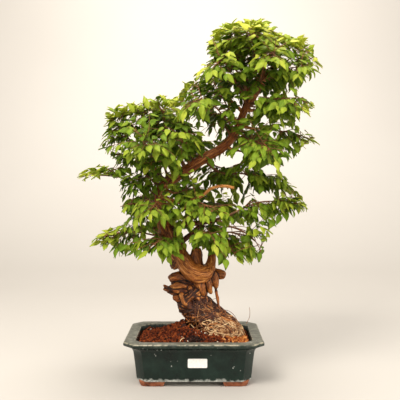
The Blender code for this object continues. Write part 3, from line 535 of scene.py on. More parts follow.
# The filling between the grains: the same clay as dust, dark because it lies in shade
filling, node, where = new_material("clay_dust_filling")
speckle = node("TexVoronoi", {"Scale": per_metre(3.03)}, {"Vector": where})
colour = node("ValToRGB", (), {"Fac": speckle}, ((0.1, "#5A2A16"), (0.6, "#1E0E08")))
set_surface(filling, {"Base Color": colour}, {"Roughness": 0.95})
put_on(filling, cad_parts["soil"])


# Wood
# The hornbeam's grown wood: an older trunk's swoop and stubs, roots knotted over each other below
# them, and an S of a bole above. Each limb is a fluted curve, and all are fused into one skin.
# A limb is how rough its bark is, its shade from dark to light, and (x, y, z, radius) points.
LIMBS = {
    "core": (0.5, -0.5, [(4, 1, 66, 19), (-1, 1, 95, 18), (-12, 0, 114, 15), (-13, 0, 132, 14),
        (-11, -1, 150, 14), (-10, -2, 166, 13)]),
    "swoop": (0.2, 0.8, [(-45, 0, 221, 10.5), (-38, -4, 206, 13), (-30, -9, 193, 14.3),
        (-21, -14, 181, 15.2), (-10, -16.5, 174, 15.8), (2, -15.5, 173, 14.8), (10.5, -11, 179, 11.5),
        (15, -7, 190, 7.8), (16.5, -3, 202, 6.4), (17.5, 0, 214, 5.6), (21, 6, 232, 4.8)]),
    "bole": (0.4, 0.9, [(-33, -2, 190, 15), (-45, -2, 209, 13.5), (-54, -1, 228, 12), (-62, 0, 248, 11),
        (-68, 0, 277, 10.2), (-70, 2, 299, 9.8), (-65, 3, 316, 9.8), (-50, 4, 328, 9.3), (-23, 4, 345, 8.8),
        (3, 3, 363, 8.2), (36, 2, 383, 7.6), (53, 1, 402, 7.0), (63, 0, 423, 6.4), (70, -1, 441, 5.8),
        (80, -2, 456, 5.2), (91, -4, 472, 4.6), (100, -6, 490, 3.6)]),
    "left_leader": (0.4, 0.6, [(65, 0, 430, 5.5), (71, 3, 448, 4.8), (75, 6, 467, 4.2), (73, 9, 484, 3.2)]),
    "middle_stub": (0.2, 0.4, [(-9, -8, 178, 13), (-10, -5, 194, 10.5), (-9, -3, 205, 9.8),
        (-9, -3, 213, 7.6), (-9, -3, 216, 3)]),
    "right_stub": (0.5, 0.5, [(8, -6, 177, 8.5), (20, -5, 173, 8.0), (30, -5, 170.5, 8.6),
        (36.5, -5, 169.5, 7.4), (39.5, -5, 169, 3.8)]),
    "stub_lobe": (0.7, 0.45, [(14, -12, 176, 6), (20, -12, 170, 6.5), (22, -11, 160, 6.5),
        (23, -10, 151, 5), (23, -10, 146, 2.5)]),
    "bark_lump": (2.2, -0.1, [(-30, -4, 200, 11), (-42, -6, 194, 9), (-47, -5, 188, 6.5), (-45, -6, 184, 6),
        (-48, -5, 179, 3.2)]),
    "back_buttress": (0.5, 0.3, [(-20, 12, 176, 13), (-8, 16, 150, 12), (-2, 17, 122, 11),
        (8, 17, 92, 12)]),
    "lobe_front": (0.9, 0.4, [(-4, -15, 160, 9), (-1, -17, 148, 8), (1, -16, 141, 6), (1, -16, 138, 2.5)]),
    "lobe_middle": (0.7, 0.5, [(9, -14, 164, 6), (12, -15, 150, 5.0), (14, -14, 142, 3.8),
        (14.5, -14, 139, 1.5)]),
    "hanging_root": (0.2, 0.3, [(22, -10, 156, 4.0), (24, -9, 140, 2.6), (27, -9, 122, 2.4),
        (31, -10, 104, 3.0), (37, -11, 88, 5)]),
    "left_lobe": (1.5, 0.45, [(-12, -4, 156, 10), (-28, -7, 163, 6.8), (-38, -9, 167, 8.6),
        (-48, -9, 165.5, 7.8), (-54, -8, 162, 4)]),
    "left_fold": (1.4, 0.6, [(-16, -11, 149, 6), (-29, -15, 153, 4.4), (-41, -15, 153.5, 6),
        (-50, -13, 151, 4.4), (-55, -12, 148.5, 2)]),
    "left_web": (1.6, 0.35, [(-14, -6, 150, 8), (-30, -9, 157, 7.2), (-43, -9, 157, 6.4),
        (-50, -9, 154, 3.5)]),
    "left_fork": (0.6, 0.35, [(-14, -9, 143, 7), (-32, -12, 144, 5.2), (-46, -12, 146, 5.2),
        (-56, -11, 148, 4.2), (-61, -11, 151, 3.0), (-64, -11, 154, 1.6)]),
    "left_prong": (0.5, 0.2, [(-50, -12, 146, 4.0), (-58, -13, 146, 3.0), (-64, -13, 148, 1.8)]),
    "left_fork_low": (0.35, 0.1, [(-28, -9, 146, 6), (-46, -7, 140, 4.5), (-58, -6, 142, 2.4)]),
    "left_knob": (1.2, 0.35, [(-14, -4, 122, 12), (-34, -7, 129, 8.5), (-43, -8, 132, 6),
        (-48, -8, 132, 3)]),
    "coil_a": (0.6, 0.8, [(-30, -6, 154, 4.8), (-33, -13, 142, 5.0), (-29, -19, 128, 4.8),
        (-16, -22, 114, 4.4), (0, -23, 100, 3.5)]),
    "coil_b": (0.6, 0.7, [(2, -14, 148, 5.2), (-8, -19, 140, 5.0), (-22, -20, 130, 4.6),
        (-31, -14, 118, 4.0), (-26, -6, 104, 3)]),
    "coil_c": (0.6, 0.9, [(6, -10, 142, 4.6), (-2, -17, 132, 4.6), (-10, -22, 118, 4.2),
        (-19, -20, 104, 3.6), (-12, -16, 90, 3)]),
    "coil_g": (0.6, 0.9, [(-3, -16, 151, 3.4), (-13, -20, 144, 3.6), (-21, -21, 137, 3.4),
        (-28, -18, 126, 3.2), (-30, -12, 116, 2.6)]),
    "coil_d": (0.5, 0.3, [(-30, 4, 150, 6), (-34, 8, 132, 6), (-28, 12, 112, 6), (-18, 14, 92, 6)]),
    "coil_e": (0.5, 0.2, [(2, 12, 150, 6), (-10, 18, 134, 6), (-14, 20, 114, 6), (-6, 20, 92, 6)]),
    "coil_f": (0.6, 0.8, [(-20, -17, 150, 4.6), (-12, -20, 138, 4.4), (-2, -20, 126, 4.2),
        (4, -21, 112, 3.8), (14, -24, 96, 3)]),
    "cut_branch": (0.2, 1.8, [(-66, 0, 300, 5), (-48, -8, 292, 4), (-22, -14, 293, 3.2), (0, -19, 301, 2.8),
        (13, -21, 312, 2.6), (24, -22, 316, 2.7), (38, -24, 317, 2.7), (52, -25, 314, 2.7)]),
    "dark_branch": (0.3, -0.1, [(-42, 0, 214, 6), (-30, 4, 227, 4.6), (-14, 8, 240, 4.2),
        (-2, 12, 254, 3.8), (4, 20, 268, 3.2)]),
    "cross_branch": (0.3, 0.0, [(-62, 0, 246, 6), (-36, -4, 253, 4.6), (-6, -8, 256, 4.2),
        (20, -10, 260, 3.6), (38, -12, 266, 3.0)]),
}
# The knotted base as a column: (height, centre x, half width, half depth)
BASE_COLUMN = ((166, -10, 14, 13), (150, -14, 18, 17), (137, -17, 20, 19), (125, -13, 25, 21),
    (112, -3, 31, 24), (98, 11, 35, 27), (84, 20, 40, 30), (72, 19, 46, 32), (60, 19, 46, 31))
# Roots that wind down the base: how many, and where they begin, end and how thick they are
KNOT_ROOTS = 20
LOOSE_KNOTS = 22
KNOTS_BEGIN = (112, 150)
KNOTS_END = (58, 72)
KNOT_THICK = (1.8, 3.6)
LOOSE_END = (84, 104)
LOOSE_THICK = (1.4, 2.8)
# Roots that cross the front aslant: how many, the highest one's top, and how far apart they lie
SLANT_ROOTS = 6
SLANT_TOP = 151
SLANT_STEP = 8.0
SLANT_THICK = 2.6
SLANT_POINTS = 7
# How far the highest one falls and each next one falls further; where round the base it starts and
# how far round it runs
SLANT_FALL = (22, 2.4)
SLANT_TURN = (-0.8, -2.0)
# A limb's cross-section is a circle with two sets of lobes, as (how many, how deep)
FLUTES = ((5, 0.07), (8, 0.04))
FLUTE_POINTS = 24
# How far the lobes turn round the limb from one of its points to the next
FLUTE_TURN = 0.3
WOOD_VOXEL = 0.00125
rng = random.Random(7)


def smooth_path(points, step=3.0):
    """Points every few millimetres along a smooth curve through the given ones, radius and all."""
    path = [Vector(points[0])]
    last = len(points) - 1
    for i in range(last):
        a, b, c, d = (Vector(points[max(0, min(last, i + k))]) for k in (-1, 0, 1, 2))
        steps = max(2, round((c - b).length / step))
        for s in range(1, steps + 1):
            t = s / steps
            path.append(0.5 * (2 * b + (c - a) * t + (2 * a - 5 * b + 4 * c - d) * t * t
                               + (3 * b - a - 3 * c + d) * t ** 3))
    return path


def flute_profile():
    """The cross-section of a limb: a circle with shallow lobes, drawn as a closed curve."""
    curve = bpy.data.curves.new("flute_profile", "CURVE")
    curve.dimensions = "2D"
    ring = curve.splines.new("POLY")
    ring.points.add(FLUTE_POINTS - 1)
    for k, point in enumerate(ring.points):
        angle = math.tau * k / FLUTE_POINTS
        radius = 1 + sum(depth * math.sin(lobes * angle + lobes) for lobes, depth in FLUTES)
        point.co = (radius * math.cos(angle), radius * math.sin(angle), 0, 1)
    ring.use_cyclic_u = True
    profile = bpy.data.objects.new("flute_profile", curve)
    bpy.context.scene.collection.objects.link(profile)
    return profile


def limb_curves(name, limbs, profile=None, twist=0.0, round_steps=1, smooth=6):
    """Limbs of (x, y, z, radius) points in millimetres as one curve piece, turned into a mesh."""
    curve = bpy.data.curves.new(name, "CURVE")
    curve.dimensions = "3D"
    curve.resolution_u = smooth
    curve.use_fill_caps = True
    if profile:
        curve.bevel_mode = "OBJECT"
        curve.bevel_object = profile
    else:
        curve.bevel_depth = MM
        curve.bevel_resolution = round_steps
    for points in limbs:
        line = curve.splines.new("BEZIER")
        line.bezier_points.add(len(points) - 1)
        for i, (knot, (x, y, z, radius)) in enumerate(zip(line.bezier_points, points)):
            knot.co = Vector((x, y, z)) * MM
            knot.radius = radius * (MM if profile else 1.0)
            knot.tilt = twist * i
            knot.handle_left_type = knot.handle_right_type = "AUTO"
    piece = bpy.data.objects.new(name, curve)
    bpy.context.scene.collection.objects.link(piece)
    select_only(piece)
    bpy.ops.object.convert(target="MESH")
    return bpy.context.object


def column_at(height):
    """Centre and half sizes of the knotted base at a height."""
    for upper, lower in zip(BASE_COLUMN, BASE_COLUMN[1:]):
        if height >= lower[0]:
            share = max(0.0, min(1.0, (height - lower[0]) / (upper[0] - lower[0])))
            return [low + (high - low) * share for low, high in zip(lower[1:], upper[1:])]
    return list(BASE_COLUMN[-1][1:])


def wound_root(turn, top, bottom, thick, sway, out=1.0, steps=7, drift=1.2, rise=0.0):
    """A root that winds down the base's surface from one height to another."""
    points = []
    phase, drift = rng.uniform(0, math.tau), rng.uniform(-drift, drift)
    for i in range(steps + 1):
        share = i / steps
        height = top + (bottom - top) * share
        centre, half_x, half_y = column_at(height)
        angle = turn + drift * share + sway * math.sin(phase + 4.5 * share)
        reach = out + rng.uniform(-0.04, 0.04)
        points.append((centre + (half_x * reach + rise) * math.cos(angle),
                       (half_y * reach + rise) * math.sin(angle), height,
                       thick * (1 - 0.35 * share) * rng.uniform(0.8, 1.2)))
    return points


for k in range(KNOT_ROOTS):
    LIMBS["knot_%d" % k] = (0.7, rng.uniform(0.0, 0.8), wound_root(
        math.tau * k / KNOT_ROOTS + rng.uniform(-0.2, 0.2), rng.uniform(*KNOTS_BEGIN),
        rng.uniform(*KNOTS_END), rng.uniform(*KNOT_THICK), 0.45, 0.93))
for k in range(LOOSE_KNOTS):
    LIMBS["loose_knot_%d" % k] = (0.3, rng.uniform(0.2, 0.9), wound_root(
        rng.uniform(-2.9, 0.4), rng.uniform(*KNOTS_BEGIN), rng.uniform(*LOOSE_END),
        rng.uniform(*LOOSE_THICK), 0.9, 1.15))
for k in range(SLANT_ROOTS):
    top, points = SLANT_TOP - SLANT_STEP * k, []
    for i in range(SLANT_POINTS):
        share = i / (SLANT_POINTS - 1)
        height = top - (SLANT_FALL[0] + SLANT_FALL[1] * k) * share
        centre, half_x, half_y = column_at(height)
        angle = SLANT_TURN[0] + SLANT_TURN[1] * share + rng.uniform(-0.12, 0.12)
        points.append((centre + (half_x + 1.6) * math.cos(angle), (half_y + 2.0) * math.sin(angle), height,
                       (SLANT_THICK - 0.12 * k) * rng.uniform(0.7, 1.25)))
    LIMBS["slant_%d" % k] = (0.35, rng.uniform(0.1, 0.9), points)
profile = flute_profile()
fused = [limb_curves("limbs", [points for _, _, points in LIMBS.values()], profile, FLUTE_TURN)]
bpy.data.objects.remove(profile)
# The root mat's body under its roots, an oval cone sunk in the soil
MAT_HEIGHTS = (56, 70, 80, 90, 100, 112, 126)
MAT_IN = 0.77
mat_rings = [(*column_at(height), height) for height in MAT_HEIGHTS]
select_only()
bpy.ops.mesh.primitive_circle_add(vertices=40, radius=1.0, fill_type="NGON", location=(0, 0, 0))
mat = bpy.context.object
centre, half_x, half_y, height = mat_rings[0]
mat.scale = (half_x * MM * MAT_IN, half_y * MM * MAT_IN, 1)
mat.location = (centre * MM, 0, height * MM)
bpy.ops.object.transform_apply(location=True, scale=True)
bpy.ops.object.mode_set(mode="EDIT")
bpy.ops.mesh.select_all(action="SELECT")
for lower, upper in zip(mat_rings, mat_rings[1:]):
    bpy.ops.mesh.extrude_region_move(TRANSFORM_OT_translate={
        "value": ((upper[0] - lower[0]) * MM, 0, (upper[3] - lower[3]) * MM)})
    bpy.ops.transform.resize(value=(upper[1] / lower[1], upper[2] / lower[2], 1),
                             center_override=(upper[0] * MM, 0, upper[3] * MM))
bpy.ops.mesh.select_all(action="SELECT")
bpy.ops.mesh.normals_make_consistent(inside=False)
bpy.ops.object.mode_set(mode="OBJECT")
fused.append(mat)
wood = join(fused, "wood")
modify(wood, "REMESH", mode="VOXEL", voxel_size=WOOD_VOXEL, use_smooth_shade=True)
modify(wood, "SMOOTH", factor=0.5, iterations=2)
# The grain: each point of the skin learns where it lies along and around its own limb, so that
# furrows and streaks run with the limb, and how rough and how light that limb is; in the base's
# hollows and in the clefts between roots its tone also takes painted shade
guides = []
for limb, (rough, shade, points) in enumerate(LIMBS.values()):
    path = smooth_path(points, 2.0)
    side = (path[1] - path[0]).to_3d().orthogonal().normalized()
    run = 0.0
    for i, here in enumerate(path):
        tangent = (path[min(i + 1, len(path) - 1)] - path[max(i - 1, 0)]).to_3d().normalized()
        side = (side - tangent * side.dot(tangent)).normalized()
        run += (here - path[max(i - 1, 0)]).to_3d().length
        guides.append((here.to_3d(), here[3], side.copy(), tangent.cross(side), run, rough, shade, limb))
tree = KDTree(len(guides))
for i, guide in enumerate(guides):
    tree.insert(guide[0], i)
tree.balance()
GRAIN_STRETCH = 0.16
# How many guides near a point are looked at, to find its own limb and the one beside it
NEAR_GUIDES = 18
# Streaks start anew after so many guides, so that limbs side by side don't share theirs
GRAIN_RUN = 50
# How high the furrows and the base's lumps stand, and how often they repeat in a millimetre
FURROW = 0.9
FURROW_SCALES = (0.42, 1.1)
LUMP_HIGH = 1.7
LUMP_SCALE = 0.085
LUMPS_BELOW = 172
# Skin that lies inside the base's column, or inside this share of it, is a hollow and gets painted
# shade, as does the mat's body that shows between the roots
HOLLOW_SHADE = 5.0
HOLLOW_EDGE = 1.02
HOLLOWS_BELOW = 148
DARKEST = -1.6
# Between two roots that lie side by side runs a cleft: how wide, how deep and how dark its
# painted shade is
CLEFT = (2.0, 1.1, 1.9)
CLEFTS_BELOW = 178
grain, shades, skin_points = [], [], []
for spot, normal in [(vertex.co / MM, vertex.normal.copy()) for vertex in wood.data.vertices]:
    hits = sorted((away - guides[found][1], found) for _, found, away in tree.find_n(spot, NEAR_GUIDES))
    depth, found = hits[0]
    place, radius, side, other, run, rough, shade, limb = guides[found]
    beside = min((away for away, hit in hits if guides[hit][7] != limb), default=99.0) - depth
    offset = spot - place
    local = Vector((offset.dot(side), offset.dot(other), run * GRAIN_STRETCH + found // GRAIN_RUN))
    # Painted shade: darker in the base's hollows and in the clefts between roots
    if spot.z < HOLLOWS_BELOW:
        centre, half_x, half_y = column_at(spot.z)
        inward = HOLLOW_EDGE - math.hypot((spot.x - centre) / half_x, spot.y / half_y)
        shade -= HOLLOW_SHADE * max(0.0, inward)
    cleft = max(0.0, 1.0 - beside / CLEFT[0]) if spot.z < CLEFTS_BELOW else 0.0
    shade -= CLEFT[2] * cleft
    furrows = noise.noise(local * FURROW_SCALES[0]) + 0.5 * noise.noise(local * FURROW_SCALES[1])
    lump = LUMP_HIGH * noise.noise(spot * LUMP_SCALE) if spot.z < LUMPS_BELOW else 0.0
    grain.extend(local)
    shades.append(max(DARKEST, shade))
    skin_points.extend((spot + normal * (rough * FURROW * furrows + lump - CLEFT[1] * cleft)) * MM)
wood.data.vertices.foreach_set("co", skin_points)
wood.data.attributes.new("grain", "FLOAT_VECTOR", "POINT").data.foreach_set("vector", grain)
wood.data.attributes.new("tone", "FLOAT", "POINT").data.foreach_set("value", shades)
wood.data.update()

# Old hornbeam bark: thin and satin-smooth, grey-brown to orange-tan, with redder streaks that run
# with the limb, lighter where its skin is most convex, and nearly black with painted shade in its
# clefts and hollows. Both widths are across the limb, in millimetres.
STREAK_WIDTH = 1.818
FURROW_WIDTH = 0.625
bark, node, where = new_material("hornbeam_bark")
along = node("Attribute", {"attribute_name": "grain"})
tone = node("Attribute", {"attribute_name": "tone"})
xyz = node("SeparateXYZ", (), {"Vector": where})
streak = node("TexNoise", {"Scale": 1 / STREAK_WIDTH, "Detail": 6.0, "Roughness": 0.6, "Distortion": 0.6},
              {"Vector": along.outputs["Vector"]})
fine = node("TexNoise", {"Scale": 1 / FURROW_WIDTH, "Detail": 4.0}, {"Vector": along.outputs["Vector"]})
patch = node("TexNoise", {"Scale": per_metre(23.8), "Detail": 3.0}, {"Vector": where})
low = node("MapRange", {"From Min": 0.25, "From Max": 0.14, "To Min": 0.0, "To Max": 0.1},
           {"Value": xyz.outputs["Z"]})
first = node("Math", {"operation": "MULTIPLY_ADD", 1: 0.22}, {0: tone.outputs["Fac"], 2: low})
second = node("Math", {"operation": "MULTIPLY_ADD", 1: 1.4}, {0: streak, 2: first})
shifted = node("Math", {"operation": "SUBTRACT", 1: 0.4}, {0: second})
colour = node("ValToRGB", (), {"Fac": shifted},
              ((0.12, "#220D04"), (0.86, "#E2A45C"), (0.3, "#48220B"), (0.45, "#773F16"),
               (0.62, "#AA672B")))
reddened = node("MapRange", {"From Min": 0.54, "From Max": 0.7, "To Max": 0.4}, {"Value": patch})
red = node("Mix", {"data_type": "RGBA", 7: linear("#93420F")}, {"Factor": reddened, 6: colour})
# Painted shade: the skin turns nearly black where it is most concave
shape = node("NewGeometry")
cleft = node("MapRange", {"From Min": 0.5, "From Max": 0.455, "To Max": 0.92},
             {"Value": shape.outputs["Pointiness"]})
dark = node("Mix", {"data_type": "RGBA", 7: linear("#210D05")}, {"Factor": cleft, 6: red})
crest = node("MapRange", {"From Min": 0.53, "From Max": 0.62, "To Max": 0.4},
             {"Value": shape.outputs["Pointiness"]})
light = node("Mix", {"data_type": "RGBA", 7: linear("#CFA068")}, {"Factor": crest, 6: dark})
relief = node("Bump", {"Strength": 0.35, "Distance": 0.0008}, {"Height": fine})
set_surface(bark, {"Base Color": light, "Normal": relief}, {"Roughness": 0.5, "Specular IOR Level": 0.3})
put_on(bark, wood)


# Branches
# The branches that carry the sprays: each leaves the wood where it grew and thins towards the
# spray's foot. They are round and smooth, and wear the same bark.
BRANCH_END = 1.5
# How light their bark is, where it is rubbed clean and elsewhere
PALE_BARK, COMMON_BARK = 1.8, 0.3
# Each spray: where its branch leaves the wood with what radius, the branch to its foot, and its stem
SPRAYS = {
    "crown_top": ((96, -5, 482, 3.6), [(104, -6, 508)], [(106, -4, 532), (102, -2, 552), (92, 0, 572)]),
    "crown_top_left": ((73, 9, 482, 3.4), [(66, 12, 512)], [(58, 10, 536), (52, 6, 556), (46, 2, 570)]),
    "crown_top_right": ((99, -6, 488, 3.2), [(116, 2, 512)], [(128, 6, 532), (140, 8, 548), (150, 6, 556)]),
    "crown_high_front": ((92, -4, 475, 3.0), [(88, -22, 502)],
        [(84, -38, 528), (78, -50, 550), (72, -56, 562)]),
    "crown_high_back": ((75, 7, 474, 3.0), [(76, 24, 504)], [(78, 40, 530), (80, 52, 552)]),
    "crown_left": ((74, 8, 478, 3.4), [(66, 6, 500), (54, 2, 512)], [(38, -2, 530), (22, -6, 543)]),
    "crown_right": ((98, -6, 486, 3.4), [(114, -8, 502)],
        [(136, -14, 520), (158, -18, 530), (178, -20, 524)]),
    "crown_front": ((88, -4, 467, 3.2), [(94, -24, 484)],
        [(98, -52, 508), (104, -80, 520), (108, -98, 512)]),
    "crown_back": ((75, 7, 470, 3.2), [(84, 28, 490)], [(90, 56, 514), (94, 82, 524), (96, 98, 516)]),
    "crown_front_left": ((73, 3, 456, 3.0), [(60, -16, 476)],
        [(44, -42, 500), (30, -68, 510), (20, -88, 500)]),
    "crown_back_left": ((74, 7, 474, 3.0), [(56, 26, 492)], [(38, 52, 512), (26, 80, 516)]),
    "crown_front_right": ((94, -4, 478, 3.0), [(112, -26, 490)], [(134, -50, 502), (156, -72, 500)]),
    "crown_back_right": ((96, -5, 482, 3.0), [(110, 18, 496)], [(134, 46, 512), (158, 66, 508)]),
    "shoulder_left": ((68, 1, 440, 3.4), [(48, 4, 458), (34, 4, 464)],
        [(6, 0, 476), (-18, -4, 482), (-34, -6, 474)]),
    "shoulder_inner": ((61, 0, 418, 3.0), [(46, -14, 440)],
        [(30, -30, 464), (18, -40, 484), (12, -46, 496)]),
    "shoulder_front": ((56, 1, 408, 3.2), [(38, -20, 428)],
        [(16, -48, 446), (-4, -76, 450), (-16, -96, 440)]),
    "shoulder_back": ((50, 2, 399, 3.2), [(36, 26, 424)], [(14, 56, 446), (-6, 84, 452), (-16, 104, 444)]),
    "right_upper": ((71, -1, 443, 3.4), [(88, -6, 442), (104, -10, 443)],
        [(132, -18, 450), (160, -22, 456), (178, -24, 448)]),
    "right_upper_back": ((72, 3, 452, 3.0), [(90, 26, 452)],
        [(116, 54, 456), (138, 78, 456), (150, 92, 448)]),
    "right_upper_front": ((78, -2, 453, 3.0), [(94, -28, 450)],
        [(114, -56, 454), (130, -82, 450), (136, -98, 440)]),
    "right_middle": ((61, 0, 418, 3.4), [(80, -4, 413), (96, -6, 412)],
        [(126, -10, 408), (156, -12, 402), (180, -14, 393)]),
    "right_middle_back": ((60, 1, 414, 3.0), [(74, 28, 408)], [(94, 58, 406), (112, 84, 402)]),
    "right_middle_front": ((52, 1, 400, 3.0), [(62, -24, 394)],
        [(78, -52, 390), (96, -80, 380), (104, -96, 368)]),
    "right_inner": ((38, 2, 385, 3.0), [(54, -6, 376)], [(74, -14, 372), (96, -20, 364), (112, -24, 354)]),
    "pad_top": ((-26, 4, 343, 4.0), [(-40, 4, 370), (-54, 2, 392)],
        [(-72, -2, 418), (-92, -6, 436), (-108, -8, 440)]),
    "pad_crest": ((-40, 4, 334, 3.2), [(-50, -10, 366), (-56, -16, 388)],
        [(-60, -30, 416), (-62, -38, 440)]),
    "pad_outer": ((-60, 4, 320, 4.0), [(-78, 0, 346), (-96, -4, 366)],
        [(-118, -8, 392), (-138, -12, 412), (-150, -14, 422)]),
    "pad_outer_low": ((-66, 3, 312, 3.4), [(-90, 8, 332)],
        [(-116, 12, 356), (-138, 12, 370), (-152, 10, 370)]),
    "pad_front": ((-54, 4, 325, 3.4), [(-62, -24, 350)],
        [(-74, -54, 374), (-82, -84, 386), (-86, -104, 378)]),
    "pad_back": ((-44, 4, 332, 3.4), [(-60, 32, 356)], [(-76, 62, 380), (-86, 90, 388), (-90, 108, 380)]),
    "pad_middle": ((2, 3, 362, 3.4), [(-8, 2, 386), (-18, 0, 400)], [(-30, -4, 424), (-44, -8, 440)]),
    "pad_top_inner": ((-12, 4, 352, 3.2), [(-22, 14, 382), (-34, 18, 404)],
        [(-50, 24, 428), (-64, 28, 444)]),
    "pad_middle_front": ((-20, 4, 347, 3.2), [(-24, -20, 364)], [(-30, -50, 386), (-36, -80, 396)]),
    "pad_middle_back": ((-6, 4, 357, 3.2), [(-14, 32, 378)], [(-24, 62, 400), (-34, 90, 406)]),
    "left_tip": ((-70, 1, 298, 3.4), [(-92, -6, 314)],
        [(-122, -10, 328), (-154, -12, 334), (-186, -12, 334)]),
    "left_low": ((-69, 1, 284, 3.2), [(-88, -12, 284)], [(-110, -22, 288), (-132, -28, 284)]),
    "left_low_back": ((-69, 1, 290, 3.2), [(-86, 30, 290)], [(-104, 60, 298), (-116, 88, 296)]),
    "left_front": ((-66, 0, 268, 3.2), [(-68, -28, 280)], [(-72, -58, 290), (-76, -86, 284)]),
    "low_left": ((-58, -1, 238, 3.6), [(-80, -10, 236)],
        [(-106, -20, 242), (-132, -28, 242), (-164, -34, 234)]),
    "low_left_front": ((-50, -2, 222, 3.2), [(-56, -26, 226)], [(-66, -54, 234), (-76, -80, 226)]),
    "low_left_back": ((-54, 0, 230, 3.2), [(-74, 28, 238)], [(-96, 58, 246), (-112, 84, 240)]),
    "right_low": ((4, 3, 363, 3.4), [(20, 12, 346), (38, 14, 338)],
        [(66, 12, 338), (94, 8, 334), (122, 4, 326)]),
    "right_low_back": ((10, 3, 367, 3.0), [(22, 34, 352)], [(44, 64, 346), (64, 92, 338)]),
    "right_tip": ((36, -12, 265, 2.8), [(58, -16, 276)],
        [(90, -22, 290), (122, -26, 292), (152, -28, 286)]),
    "right_bottom": ((24, -10, 261, 2.8), [(44, -24, 252)],
        [(66, -36, 244), (86, -42, 228), (94, -44, 212)]),
    "middle_front": ((-6, -8, 256, 2.8), [(0, -32, 254)], [(8, -58, 250), (16, -82, 238)]),
    "middle_inner": ((-66, 3, 315, 3.0), [(-44, -22, 304)],
        [(-20, -40, 296), (4, -56, 288), (26, -66, 280)]),
    "middle_back": ((3, 19, 267, 2.8), [(12, 42, 276)], [(28, 70, 286), (42, 98, 282)]),
    "middle_back_left": ((-68, 3, 305, 3.0), [(-44, 30, 306)], [(-24, 60, 312), (-8, 90, 306)]),
    "arm_top": ((22, 4, 226, 3.2), [(34, 14, 238)], [(54, 24, 238), (72, 30, 226), (80, 32, 212)]),
    "arm_front": ((20, 1, 218, 3.0), [(30, -14, 226)], [(42, -38, 224), (50, -60, 212)]),
}
# Young branches rubbed clean of their grey, which show light tan between the leaves
PALE_BRANCHES = ("right_upper", "shoulder_left", "shoulder_inner", "right_inner", "right_middle",
    "crown_right", "middle_inner")
branch_groups = []
for pale in (True, False):
    limbs = []
    for name, (origin, branch, _) in SPRAYS.items():
        if (name in PALE_BRANCHES) == pale:
            count = len(branch)
            limbs.append([origin] + [(*point, origin[3] + (BRANCH_END - origin[3]) * (i + 1) / count)
                                     for i, point in enumerate(branch)])
    group = limb_curves("branches", limbs, round_steps=2)
    set_tone(group, PALE_BARK if pale else COMMON_BARK)
    group.data.shade_smooth()
    put_on(bark, group)
    branch_groups.append(group)
wood = join([wood] + branch_groups, "wood")
finish_piece(wood, "bark", "trunk")


# Root fibres
# The mat of feeding roots that runs from under the knots over the mound and into the clay: some
# nine hundred, pale tan to brown, the browner ones beginning higher under the knots where their
# brown is partly painted shade, and a few wiry ones that stand off.
# Each group: its shade, how many roots it has, and the heights between which they begin; the
# browner groups begin higher, and their brown is partly painted shade
FIBRE_GROUPS = ((-0.15, 260, (102, 134)), (0.35, 330, (84, 128)), (0.85, 300, (74, 108)))
FIBRE_THICK = (0.4, 0.9)
# Most of them run down the front right: their share, and their turn with its spread
FRONT_SHARE = 0.8
FRONT_TURN = (-0.55, 0.6)
# Half of them reach the clay, between these heights, and the others end after a short way
CLAY_HEIGHTS = (60, 76)
SHORT_WAY = (12, 30)
WIRY_ROOTS = (
    [(30, -8, 111, 0.5), (41, -8, 111, 0.45), (49, -8, 107, 0.45), (57, -8, 97, 0.4), (61, -8, 88, 0.4)],
    [(79, -2, 115, 0.3), (80, -2, 107, 0.35), (79, -3, 98, 0.4), (74, -4, 88, 0.45)],
    [(12, -18, 126, 0.5), (18, -18, 131, 0.4), (28, -18, 134, 0.35)],
    [(24, -16, 118, 0.5), (31, -18, 113, 0.5), (39, -16, 103, 0.5), (46, -14, 95, 0.4)],
)
PALE_CURL = ([(-26, -44, 71, 0.5), (-30, -52, 75.5, 0.65), (-34, -57, 73.5, 0.7), (-36, -58, 68, 0.65)],)
rng = random.Random(29)
groups = []
for shade, count, tops in FIBRE_GROUPS:
    roots = []
    for _ in range(count):
        top = rng.uniform(*tops)
        turn = rng.gauss(*FRONT_TURN) if rng.random() < FRONT_SHARE else rng.uniform(0, 2.4)
        bottom = rng.uniform(*CLAY_HEIGHTS) if rng.random() < 0.5 else top - rng.uniform(*SHORT_WAY)
        roots.append(wound_root(turn, top, bottom, rng.uniform(*FIBRE_THICK), rng.uniform(0.1, 0.45),
                                1.0, 6, 0.55, rng.uniform(1.5, 5.5)))
    group = limb_curves("fibres", roots, round_steps=0, smooth=2)
    set_tone(group, shade + rng.uniform(-0.1, 0.1))
    groups.append(group)
for roots, shade in ((WIRY_ROOTS, 0.3), (PALE_CURL, 1.2)):
    group = limb_curves("wires", roots, round_steps=0)
    set_tone(group, shade)
    groups.append(group)
fibres = join(groups, "root_fibres")
fibres.data.shade_smooth()
# Dry feeding roots: fibrous and matt, pale tan to brown along each root's length
root_skin, node, where = new_material("dry_root_skin")
tone = node("Attribute", {"attribute_name": "tone"})
stain = node("TexNoise", {"Scale": per_metre(5.26), "Detail": 4.0}, {"Vector": where})
spread = node("MapRange", {"To Min": -0.55, "To Max": 0.55}, {"Value": stain})
total = node("Math", {"operation": "ADD"}, {0: tone.outputs["Fac"], 1: spread})
colour = node("ValToRGB", (), {"Fac": total},
              ((0.0, "#381606"), (1.0, "#EFD0A0"), (0.3, "#7A421A"), (0.6, "#B58450")))
set_surface(root_skin, {"Base Color": colour}, {"Roughness": 0.7})
put_on(root_skin, fibres)
finish_piece(fibres, "bark")


